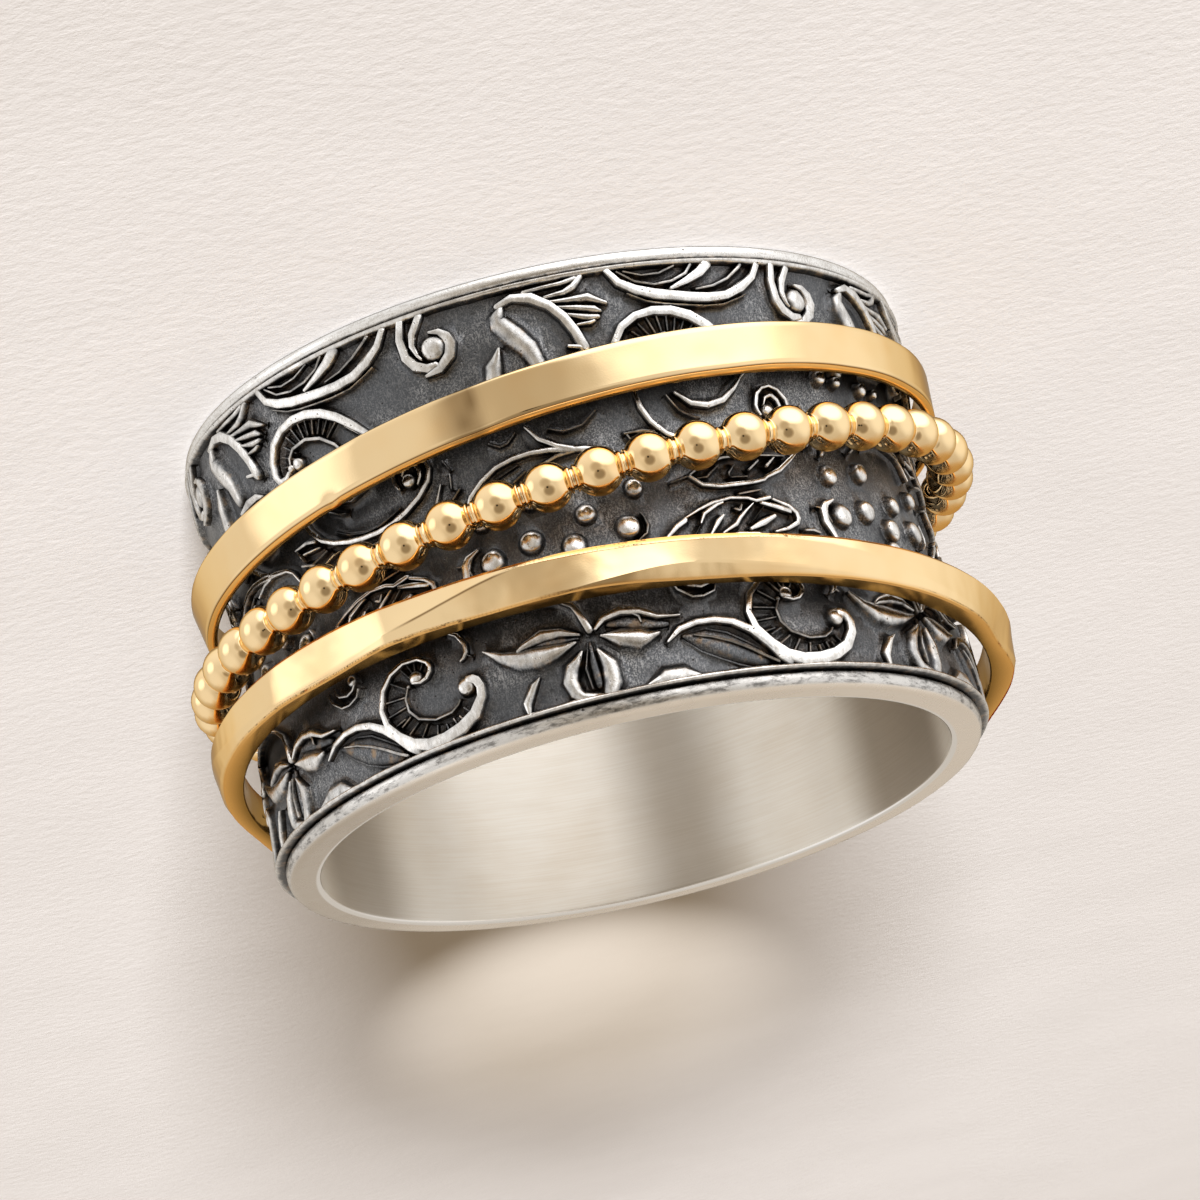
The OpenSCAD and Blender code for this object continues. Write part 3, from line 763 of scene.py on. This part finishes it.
# How far a stroke's root goes under the ground, and the fillet along its edge as
# (distance from the edge, rise)
ROOT_DEPTH = 0.12
SKIRT = [(0.04, 0.045), (0.14, -0.03)]
# A stroke gets a new station after this length or this turn
STEP_MM = 0.50
TURN_DEG = 29
# A berry's section: share of its radius, and rise
BERRY_CUT = [(1.3, -0.03), (1.1, 0.012), (1.0, 0.09), (0.90, 0.18), (0.74, 0.235), (0.5, 0.265),
             (0.2, 0.275)]
BERRY_TOP = 0.279
BERRY_SWELL = 1.14
RIB_H = 0.2
# Each family of strokes: rows, section, height, and how much wider they are made
FAMILIES = ((LOW_STROKES, DOME, 0.15, 1.0), (DOME_STROKES, DOME, 0.268, 1.16),
            (THIN_STROKES, THIN, 0.25, 1.15), (ROUND_STROKES, ROUND, 0.278, 1.25))


def on_sleeve(around, along, rise):
    """The point over a place of the pattern, kept between the sleeve's two ends."""
    along = min(max(along, SLEEVE_Z0 + 0.03), SLEEVE_Z1 - 0.03)
    angle = FRONT_DEG - around * 360 / REPEATS / REPEAT_W
    return (*polar(ground_r(along) + rise, angle), along)


def smooth_path(rows):
    """Stations on a smooth curve through the rows, close together where it bends."""
    rows = np.array(rows, float)
    knots = np.vstack([2 * rows[0] - rows[1], rows, 2 * rows[-1] - rows[-2]])
    fine = []
    for i in range(1, len(knots) - 2):
        p0, p1, p2, p3 = knots[i - 1:i + 3]
        for t in np.linspace(0, 1, 8, endpoint=False):
            fine.append(0.5 * (2 * p1 + (p2 - p0) * t + (2 * p0 - 5 * p1 + 4 * p2 - p3) * t * t
                               + (3 * p1 - p0 - 3 * p2 + p3) * t ** 3))
    fine.append(rows[-1])
    kept = [fine[0]]
    gone = turned = 0.0
    for last, here, following in zip(fine, fine[1:], fine[2:]):
        before, after = here - last, following - here
        gone += math.hypot(before[0], before[1])
        bend = (math.atan2(after[1], after[0]) - math.atan2(before[1], before[0])) % math.tau
        turned += min(bend, math.tau - bend)
        if gone > STEP_MM or turned > math.radians(TURN_DEG):
            kept.append(here)
            gone = turned = 0.0
    return kept + [fine[-1]]


def with_round_ends(path):
    """Adds stations (around, along, width, height factor) that round off each end."""
    rows = [list(row) + [1.0] for row in path]
    for end, inner in ((0, 1), (-1, -2)):
        x, y, w = path[end]
        dx, dy = x - path[inner][0], y - path[inner][1]
        length = max(math.hypot(dx, dy), 1e-6)
        tips = []
        for turn in (40, 75):
            shrink, reach = polar(1, turn)
            out = w / 2 * reach / length
            tips.append([x + dx * out, y + dy * out, max(w * shrink, 0.02), 0.4 + 0.6 * shrink])
        rows = tips[::-1] + rows if end == 0 else rows + tips
    return rows


def cut_of(profile):
    """A stroke's section from left to right as (share of half width, offset, height, rise)."""
    right = [(s, 0.0, h, 0.0) for s, h in profile]
    right = [(1.0, out, 0.0, rise) for out, rise in reversed(SKIRT)] + right
    left = [(-s, -out, h, rise) for s, out, h, rise in right]
    if profile[-1][0] == 0:
        right = right[:-1]
    return left + right[::-1]


def stroke_mesh(rows, profile, height, seed):
    """One raised stroke as a closed tube whose root is under the ground."""
    stations = with_round_ends(smooth_path(rows))
    cut = cut_of(profile)
    loops = []
    for i, (x, y, w, grow) in enumerate(stations):
        a, b = stations[max(i - 1, 0)], stations[min(i + 1, len(stations) - 1)]
        dx, dy = b[0] - a[0], b[1] - a[1]
        length = max(math.hypot(dx, dy), 1e-6)
        side = (-dy / length, dx / length)
        x += 0.03 * ripple((x, y, 0), 1.4, seed)
        y += 0.03 * ripple((x, y, 9), 1.4, seed)
        w *= 1 + 0.12 * ripple((x, y, 5), 0.7, seed)
        h = height * grow * (1 - 0.10 * abs(ripple((x, y, 3), 0.6, seed)))
        loop = []
        for share, out, part, rise in cut:
            o = share * w / 2 + out
            loop.append(on_sleeve(x + side[0] * o, y + side[1] * o, h * part + rise))
        loop.append(on_sleeve(x, y, -ROOT_DEPTH))
        loops.append(loop)
    return tube(loops)


def berry_mesh(x, y, r, seed):
    """A worn ball: a dome with a slightly uneven flat on top."""
    sides = 14 if r > 0.15 else 10
    reach = 1 if r > 0.12 else 0.8
    loops = []
    for share, rise in [(0.6, -ROOT_DEPTH)] + BERRY_CUT:
        loop = []
        for k in range(sides):
            a = math.tau * k / sides
            c, s = math.cos(a), math.sin(a)
            o = r * share * (1 + 0.07 * ripple((c, s, share), 0.9, seed))
            lift = rise * reach if rise > 0 else rise
            tilt = 0.018 * math.cos(a + seed) * share if rise > 0.2 else 0.0
            loop.append(on_sleeve(x + o * c, y + o * s, min(lift + tilt, BERRY_TOP)))
        loops.append(loop)
    return tube(loops)


def relief_meshes(repeat):
    """Every stroke, rib and berry of one repeat of the pattern."""
    meshes = []
    number = 0
    for strokes, profile, height, swell in FAMILIES:
        for rows in strokes:
            number += 1
            # Strokes that cross are not quite as high as each other
            lower = height - 0.002 * (number % 7)
            wide = [(x, y, w * swell) for x, y, w in rows]
            meshes.append(stroke_mesh(wide, profile, lower, repeat * 100 + number))
    for x0, y0, x1, y1 in CRESCENT_RIBS:
        rows = [(x0, y0, RIB_W), ((x0 + x1) / 2, (y0 + y1) / 2, RIB_W), (x1, y1, RIB_W)]
        meshes.append(stroke_mesh(rows, THIN, RIB_H, repeat))
    mx, my, inner, outer, start, end, count = ARCH_RIBS
    for i in range(count):
        c, s = polar(1, start + (end - start) * i / (count - 1))
        rows = [(mx + inner * c, my - inner * s, RIB_W), (mx + outer * c, my - outer * s, RIB_W)]
        meshes.append(stroke_mesh(rows, THIN, RIB_H, repeat))
    for i, (x, y, r) in enumerate(BERRIES):
        meshes.append(berry_mesh(x, y, r * BERRY_SWELL, repeat * 50 + i))
    return meshes


# Sleeve

def sleeve_end(z, up, middle_r):
    """One end of the sleeve's section, from its inside over the raised edge to the
    ground. up is 1 at the foot and -1 at the mouth."""
    soft = 0.05 * up
    inner = z + EDGE_W * up
    return [(SLEEVE_IN_R, z), (middle_r, z), (top_r(z) - 0.05, z), (top_r(z), z + soft),
            (top_r(inner) - 0.01, inner - 0.04 * up), (top_r(inner) - 0.06, inner),
            (ground_r(inner + soft) + 0.03, inner + soft)]


def sleeve_section():
    foot, mouth = sleeve_end(SLEEVE_Z0, 1, 9.9), sleeve_end(SLEEVE_Z1, -1, 9.8)
    ground = np.linspace(foot[-1][1] + 0.05, mouth[-1][1] - 0.05, 36)
    return foot + [(ground_r(z), z) for z in ground] + mouth[::-1]


def build_sleeve(material):
    low, high = SLEEVE_Z0 + 0.07, SLEEVE_Z1 - 0.07

    def place(r, z, a):
        """The inner line of each raised edge wavers."""
        if r > ground_r(z) + 0.01 and low < z < high:
            spot = (*polar(10, a), z)
            z += 0.03 * ripple(spot, 0.9, 4) + 0.015 * ripple(spot, 0.3, 5)
        return r, z

    points, faces = lathe(sleeve_section(), SLEEVE_STEPS, place)
    sleeve = mesh_object("sleeve", points, faces, 40)
    parts = bpy.data.collections.new("relief")
    SCENE.collection.children.link(parts)
    for repeat in range(REPEATS):
        turn = np.array(Matrix.Rotation(math.radians(360 / REPEATS * repeat), 3, "Z"))
        for number, (points, faces) in enumerate(relief_meshes(repeat)):
            piece = mesh_object(f"relief_{repeat}_{number}", points @ turn.T, faces, 50)
            SCENE.collection.objects.unlink(piece)
            parts.objects.link(piece)
    union = sleeve.modifiers.new("union", "BOOLEAN")
    union.operation = "UNION"
    union.solver = "MANIFOLD"
    union.operand_type = "COLLECTION"
    union.collection = parts
    bpy.context.view_layer.update()
    fused = bpy.data.meshes.new_from_object(sleeve.evaluated_get(bpy.context.evaluated_depsgraph_get()))
    sleeve.modifiers.clear()
    sleeve.data = fused
    for piece in list(parts.objects):
        bpy.data.meshes.remove(piece.data)
    bpy.data.collections.remove(parts)
    add_rise(fused)
    fused.shade_smooth()
    fused.set_sharp_from_angle(angle=math.radians(40))
    finish_piece(sleeve, material, "band", "patterned_sleeve")


def add_rise(mesh):
    """Keeps each vertex's rise above the ground, from 0 to about 1."""
    spots = np.zeros(len(mesh.vertices) * 3, np.float32)
    mesh.vertices.foreach_get("co", spots)
    spots = spots.reshape(-1, 3) / MM
    radius = np.hypot(spots[:, 0], spots[:, 1])
    ground = np.array([ground_r(z) for z in spots[:, 2]])
    keep_values(mesh, "rise", np.clip((radius - ground) / RELIEF_H, 0, 1))


# Loose rings

# How dark the painted shade on the inner faces of the flat and the bevelled ring is
INSIDE_SHADE = 0.85
RING_ROUND = 0.09


def leaning(points, joint_name):
    """Turns a ring that was made about +Z into the leaning frame of its joint."""
    joint = next(j for j in frame["joints"] if j["name"] == joint_name)
    x, y, z = joint["axis"]
    turn = Matrix.Rotation(math.atan2(x, z), 3, "Y") @ Matrix.Rotation(-math.asin(y), 3, "X")
    return points @ np.array(turn).T + np.array(joint["pos_m"]) / MM


FLAT_W = 1.38
FLAT_R = 11.04
FLAT_IN_R = 10.58
FLAT_TAPER = 0.14
FLAT_LIP = 0.13
FLAT_STEPS = 540
# A painted dark reflection on the flat ring: strength, angle, and its reach before and after it
DARK_REFLECTION = 0.6
DARK_REFLECTION_DEG = -80.5
DARK_REFLECTION_REACH = (0.22, 0.75)
# Dents of the flat ring: angle in degrees, height, depth and reach in millimetres
FLAT_DENTS = [(-80.0, 0.1, 0.05, 0.5), (-92.0, -0.3, 0.025, 0.7), (-55.5, 0.68, 0.12, 0.15),
              (-118.0, 0.2, 0.04, 0.6), (30.0, 0.0, 0.05, 0.4), (95.0, 0.2, 0.06, 0.5),
              (160.0, -0.2, 0.05, 0.4)]


def build_flat_ring(material):
    h = FLAT_W / 2
    out_mouth = FLAT_R - FLAT_TAPER
    section = rounded(FLAT_IN_R, -h, RING_ROUND, 180, 5)
    section += line((FLAT_IN_R + RING_ROUND, -h), (FLAT_R - RING_ROUND, -h), 1)
    section += rounded(FLAT_R, -h, RING_ROUND, -90, 5)
    section += line((FLAT_R, -h + RING_ROUND), (out_mouth, h - FLAT_LIP - 0.05), 10)
    # A fine groove, and the lip above it
    groove = len(section) + 1
    section += [(out_mouth, h - FLAT_LIP - 0.04), (out_mouth - 0.035, h - FLAT_LIP - 0.01),
                (out_mouth - 0.02, h - FLAT_LIP + 0.03), (out_mouth - 0.07, h - 0.03),
                (out_mouth - 0.15, h)]
    section += line((out_mouth - 0.15, h), (FLAT_IN_R + RING_ROUND, h), 1)
    lip_end = len(section) - 1
    section += rounded(FLAT_IN_R, h, RING_ROUND, 90, 5)
    section += line((FLAT_IN_R, h - RING_ROUND), (FLAT_IN_R, -h + RING_ROUND), 2)

    def place(r, z, a):
        if r > FLAT_IN_R + 0.15:
            spot = (*polar(r, a), z)
            r += 0.022 * ripple(spot, 2.6, 11) + 0.006 * ripple(spot, 0.9, 12) - 0.012
            for angle, height, depth, reach in FLAT_DENTS:
                away = math.radians((a - angle + 180) % 360 - 180) * FLAT_R
                r -= depth * math.exp(-(away * away + (z - height) ** 2) / (2 * reach * reach))
            z += 0.012 * ripple(spot, 1.6, 13)
        return r, z

    points, faces = lathe(section, FLAT_STEPS, place)
    thing = mesh_object("flat_band", leaning(points, "flat_spin"), faces, 45)
    # Painted deep orange reflection on the lip above the groove
    under = [1.0 if groove < k <= lip_end else 0.0 for k in range(len(section))]
    keep_values(thing.data, "under", under * FLAT_STEPS)
    # Painted shade in the groove and on the inner face, and a painted dark reflection on the outer face
    dark = []
    for i in range(FLAT_STEPS):
        away = math.radians(i * 360 / FLAT_STEPS - 360 - DARK_REFLECTION_DEG) * FLAT_R
        dark_reflection = DARK_REFLECTION * math.exp(-(away / DARK_REFLECTION_REACH[away >= 0]) ** 2)
        for k, (r, z) in enumerate(section):
            uneven = 1 + 0.5 * ripple((away, z, 0), 0.5, 15)
            inner = INSIDE_SHADE if r < FLAT_IN_R + 0.1 else 0.0
            dark.append(1.0 if k == groove else max(inner, dark_reflection * uneven))
    keep_values(thing.data, "groove", dark)
    finish_piece(thing, material, "flat_ring", "flat_spinner")


BEADS = 49
BEAD_R = 0.68
BEAD_CIRCLE_R = 11.0
FIRST_BEAD_DEG = -88.0
BEAD_SIDES = 28
# Angles of a bead's stations, from its widest place towards the neck
BALL_TURNS = (0, 11, 22, 33, 43, 51, 58.5)
# Then to the neck: distance from the bead's middle, and radius
NECK = [(0.585, 0.352), (0.592, 0.375), (0.615, 0.388), (0.643, 0.380), (0.658, 0.345),
        (0.672, 0.312)]
NECK_R = 0.305


def build_bead_ring(material):
    half_pitch = math.pi * BEAD_CIRCLE_R / BEADS
    half = [polar(BEAD_R, turn)[::-1] for turn in BALL_TURNS] + NECK
    stations = half + [(half_pitch, NECK_R)] + [(2 * half_pitch - s, r) for s, r in reversed(half[1:])]
    loops = []
    for bead in range(BEADS):
        size = 1 + 0.012 * ripple((bead, 0, 0), 0.7, 21)
        for s, r in stations:
            a = FIRST_BEAD_DEG + math.degrees((2 * half_pitch * bead + s) / BEAD_CIRCLE_R)
            loop = []
            for k in range(BEAD_SIDES):
                out, up = polar(r * size, 360 * k / BEAD_SIDES)
                loop.append((*polar(BEAD_CIRCLE_R + out, a), up))
            loops.append(loop)
    points, faces = closed_ring(loops)
    thing = mesh_object("bead_string", leaning(points, "beaded_spin"), faces, 35)
    # Painted deep orange reflection on each bead's side towards the mouth
    keep_values(thing.data, "under", [ease((z / BEAD_R - 0.70) / 0.18) for z in points[:, 2]])
    finish_piece(thing, material, "beaded_ring", "beaded_spinner")


BEVEL_W = 1.16
BEVEL_R = 11.46
BEVEL_IN_R = 10.64
BEVEL_CHAMFER = 0.13
BEVEL_STEPS = 600
# The bevelled ring's outer face has three facets, and the two ridges between them wander,
# three times round. Each row is an angle in the repeat, the height of the first ridge, the
# tilt of the first and the middle facet, the height of the second ridge and the tilt of
# the last facet. A tilt is in degrees, and positive where the radius grows with height.
TWIST = [
    (0, .20, -4, -16, .45, -30), (20, .42, -10, -18, .50, -28), (28, .42, -22, -24, .50, -28),
    (35, .36, -14, -20, .50, -26), (42, .26, 4, -18, .52, -24), (49, .10, 6, -18, .53, -24),
    (54, -.17, 8, -20, .54, -24), (59, -.34, 12, -14, .55, -26), (63, -.46, 12, -9, .54, -30),
    (68, -.50, 10, -3, .52, -34), (74, -.50, 8, 3, .42, -36), (79, -.50, 8, 0, .28, -36),
    (84, -.50, 6, -11, .14, -30), (90, -.48, 4, -15, .20, -26), (98, -.45, 2, -11, .34, -28),
    (110, -.2, 0, -12, .42, -30), (120, .20, -4, -16, .45, -30)]
TWIST_REPEAT = 120
TWIST_START_DEG = -20
# Each section is the mean over these turns, so that the facets flow into each other
TWIST_BLUR = (-4, -2, 0, 2, 4)
# Where in the repeat a painted dark reflection line follows the first ridge: start, full, full, end
DARK_RIDGE = (42, 46, 58, 61)


def bevel_points(a):
    """The outer face's ridges and edges at an angle, as (radius, height)."""
    h = BEVEL_W / 2
    angles, *columns = zip(*TWIST)
    near = [(TWIST_START_DEG - a + turn) % TWIST_REPEAT for turn in TWIST_BLUR]
    first, low, middle, second, high = (np.mean(np.interp(near, angles, column))
                                        for column in columns)
    foot, mouth = -h + BEVEL_CHAMFER, h - 0.03
    r = 0.0
    points = [(r, foot)]
    for tilt, z0, z1 in ((low, foot, first), (middle, first, second), (high, second, mouth)):
        r += math.tan(math.radians(tilt)) * (z1 - z0)
        points.append((r, z1))
    top = max(r for r, z in points)
    return [(BEVEL_R + r - top, z) for r, z in points]


def bevel_section(points):
    """The whole section round the outer face's four points."""
    h = BEVEL_W / 2
    section = rounded(BEVEL_IN_R, -h, RING_ROUND, 180, 4)
    section += [(points[0][0] - 0.16, -h), (points[0][0] - 0.06, -h + 0.05), points[0]]
    for p, q in zip(points, points[1:]):
        soft = 0.05 / (q[1] - p[1])
        section += [between(p, q, share) for share in (soft, 0.5, 1 - soft)]
        section.append(q)
    section.append((points[3][0] - 0.06, h))
    section += rounded(BEVEL_IN_R, h, RING_ROUND, 90, 4)
    section += line((BEVEL_IN_R, h - RING_ROUND), (BEVEL_IN_R, -h + RING_ROUND), 1)
    return section


def build_bevelled_ring(material):
    h = BEVEL_W / 2
    loops = []
    dark = []
    for i in range(BEVEL_STEPS):
        a = 360.0 * i / BEVEL_STEPS
        points = bevel_points(a)
        ridge = np.interp((TWIST_START_DEG - a) % TWIST_REPEAT, DARK_RIDGE, (0, 1, 1, 0))
        loop = []
        for r, z in bevel_section(points):
            # Painted shade on the inner face, and the painted dark reflection line on the first ridge
            inner = INSIDE_SHADE if r < BEVEL_IN_R + 0.1 else 0.0
            dark.append(ridge if (r, z) == points[1] else inner)
            if r > BEVEL_IN_R + 0.15:
                spot = (*polar(r, a), z)
                r += 0.016 * ripple(spot, 1.9, 31) + 0.006 * ripple(spot, 0.7, 32) - 0.014
            loop.append((*polar(r, a), z))
        loops.append(loop)
    points, faces = closed_ring(loops)
    thing = mesh_object("bevelled_band", leaning(points, "bevelled_spin"), faces, 18)
    keep_values(thing.data, "groove", dark)
    # Painted deep orange reflection along the mouth edge and the foot chamfer
    under = [max(0.9 * ease((z - h + 0.10) / 0.07), ease((0.02 - h + BEVEL_CHAMFER - z) / 0.06))
             for z in points[:, 2]]
    keep_values(thing.data, "under", under)
    finish_piece(thing, material, "bevelled_ring", "bevelled_spinner")


# Studio

FLOOR_HALF = 1.2


def add_floor(material):
    mesh = bpy.data.meshes.new("floor")
    h = FLOOR_HALF
    mesh.from_pydata([(-h, -h, 0), (h, -h, 0), (h, h, 0), (-h, h, 0)], [], [(0, 1, 2, 3)])
    mesh.materials.append(material)
    floor = bpy.data.objects.new("floor", mesh)
    SCENE.collection.objects.link(floor)
    # The metal mirrors the world below the horizon instead of the table
    floor.visible_glossy = False


# Surroundings that the metal mirrors: azimuth and elevation of a place in degrees, its
# inner and outer angle, and the brightness that it leads to. -90 is towards the camera.
# The last one is the camera's lens.
WORLD_PATCHES = [
    ((-175, -5), (12, 52), 1.05),
    ((-134, -47), (26, 49), 2.20),
    ((-10, -13), (9, 25), 1.55),
    ((0, 34), (10, 45), 0.90),
    ((-84, -4), (5, 30), 0.52),
    ((-96, 34), (12, 30), 0.30),
    ((90, 18), (20, 60), 0.60),
    ((90, -35), (12, 42), 0.35),
    ((-90, 18), (2.5, 6), 0.03),
]
ROOM_DIM = (1.0, 0.85, 0.66, 1)
ROOM_BRIGHT = (1.0, 0.985, 0.97, 1)
ROOM_BOX = (1.0, 0.985, 0.98, 1)
# Light that comes to matt surfaces from all round
FILL = 0.27
FILL_COLOUR = (1.0, 0.76, 0.50, 1)

KEY_AT = (-250, -3990, 590)
KEY_SIZE = (780, 270)
KEY_RADIANCE = 1420
KEY_COLOUR = (0.91, 0.935, 1.0)
GLINT_AT = (5.5, 5.0, 38.0)
GLINT_AIM = (4.0, 72.0, 0.0)
GLINT_POWER = 0.29
GLINT_SPREAD_DEG = 15.0
GLINT_COLOUR = (1.0, 0.955, 0.90)


def add_world():
    """Bright patches low on the right and the left, and darker ones front and back."""
    world = bpy.data.worlds.new("studio")
    SCENE.world = world
    world.use_nodes = True
    tree = world.node_tree
    tree.nodes.clear()
    nodes = Nodes(tree)
    place = nodes.add("ShaderNodeTexCoord").outputs["Generated"]
    z = nodes.add("ShaderNodeSeparateXYZ", {0: place}).outputs[2]
    level = nodes.mix(nodes.step(z, -1.0, 0.0), 1.0, 0.80)
    level = nodes.mix(nodes.step(z, 0.3, 0.9), level, 0.66)
    for (azimuth, elevation), reach, bright in WORLD_PATCHES:
        flat, up = polar(1, elevation)
        near = nodes.add("ShaderNodeVectorMath", {0: place, 1: (*polar(flat, azimuth), up)},
                         operation="DOT_PRODUCT").outputs["Value"]
        inner, outer = (math.cos(math.radians(angle)) for angle in reach)
        level = nodes.mix(nodes.step(near, outer, inner), level, bright)
    tint = nodes.blend(nodes.step(level, 0.2, 1.0), ROOM_DIM, ROOM_BRIGHT)
    tint = nodes.blend(nodes.step(level, 1.0, 1.6), tint, ROOM_BOX)
    room = nodes.add("ShaderNodeBackground", {"Color": tint, "Strength": level})
    fill = nodes.add("ShaderNodeBackground", {"Color": FILL_COLOUR, "Strength": FILL})
    matt = nodes.add("ShaderNodeLightPath").outputs["Is Diffuse Ray"]
    both = nodes.add("ShaderNodeMixShader", {0: matt, 1: room.outputs[0], 2: fill.outputs[0]})
    nodes.add("ShaderNodeOutputWorld", {0: both.outputs[0]})


def add_light(name, kind, at_mm, aim_mm, colour):
    """A light on matt surfaces that neither the camera nor the metal sees."""
    data = bpy.data.lights.new(name, kind)
    data.color = colour
    light = bpy.data.objects.new(name, data)
    light.location = Vector(at_mm) * MM
    light.rotation_euler = (Vector(at_mm) - Vector(aim_mm)).to_track_quat("Z", "Y").to_euler()
    light.visible_camera = False
    light.visible_glossy = False
    SCENE.collection.objects.link(light)
    return data


def add_key():
    """A soft box 4 m away, behind the camera and a little above the table."""
    data = add_light("key", "AREA", KEY_AT, (0, 0, 0), KEY_COLOUR)
    data.shape = "RECTANGLE"
    data.size, data.size_y = KEY_SIZE[0] * MM, KEY_SIZE[1] * MM
    data.energy = KEY_RADIANCE * math.pi * data.size * data.size_y


def add_glint():
    """The light that the polished ring throws into the middle of its own shadow."""
    data = add_light("glint", "SPOT", GLINT_AT, GLINT_AIM, GLINT_COLOUR)
    data.use_shadow = False
    data.energy = GLINT_POWER
    data.spot_size = math.radians(GLINT_SPREAD_DEG)
    data.spot_blend = 1.0


def main():
    add_camera()
    build_liner(liner_material())
    build_sleeve(sleeve_material())
    build_flat_ring(gold_material("flat_gold", 0.05, 1.8))
    build_bead_ring(gold_material("bead_gold", 0.004, 0.6))
    build_bevelled_ring(gold_material("bevel_gold", 0.03, 0.9))
    add_floor(floor_material())
    add_world()
    add_key()
    add_glint()
    SCENE.view_settings.view_transform = "Standard"


main()
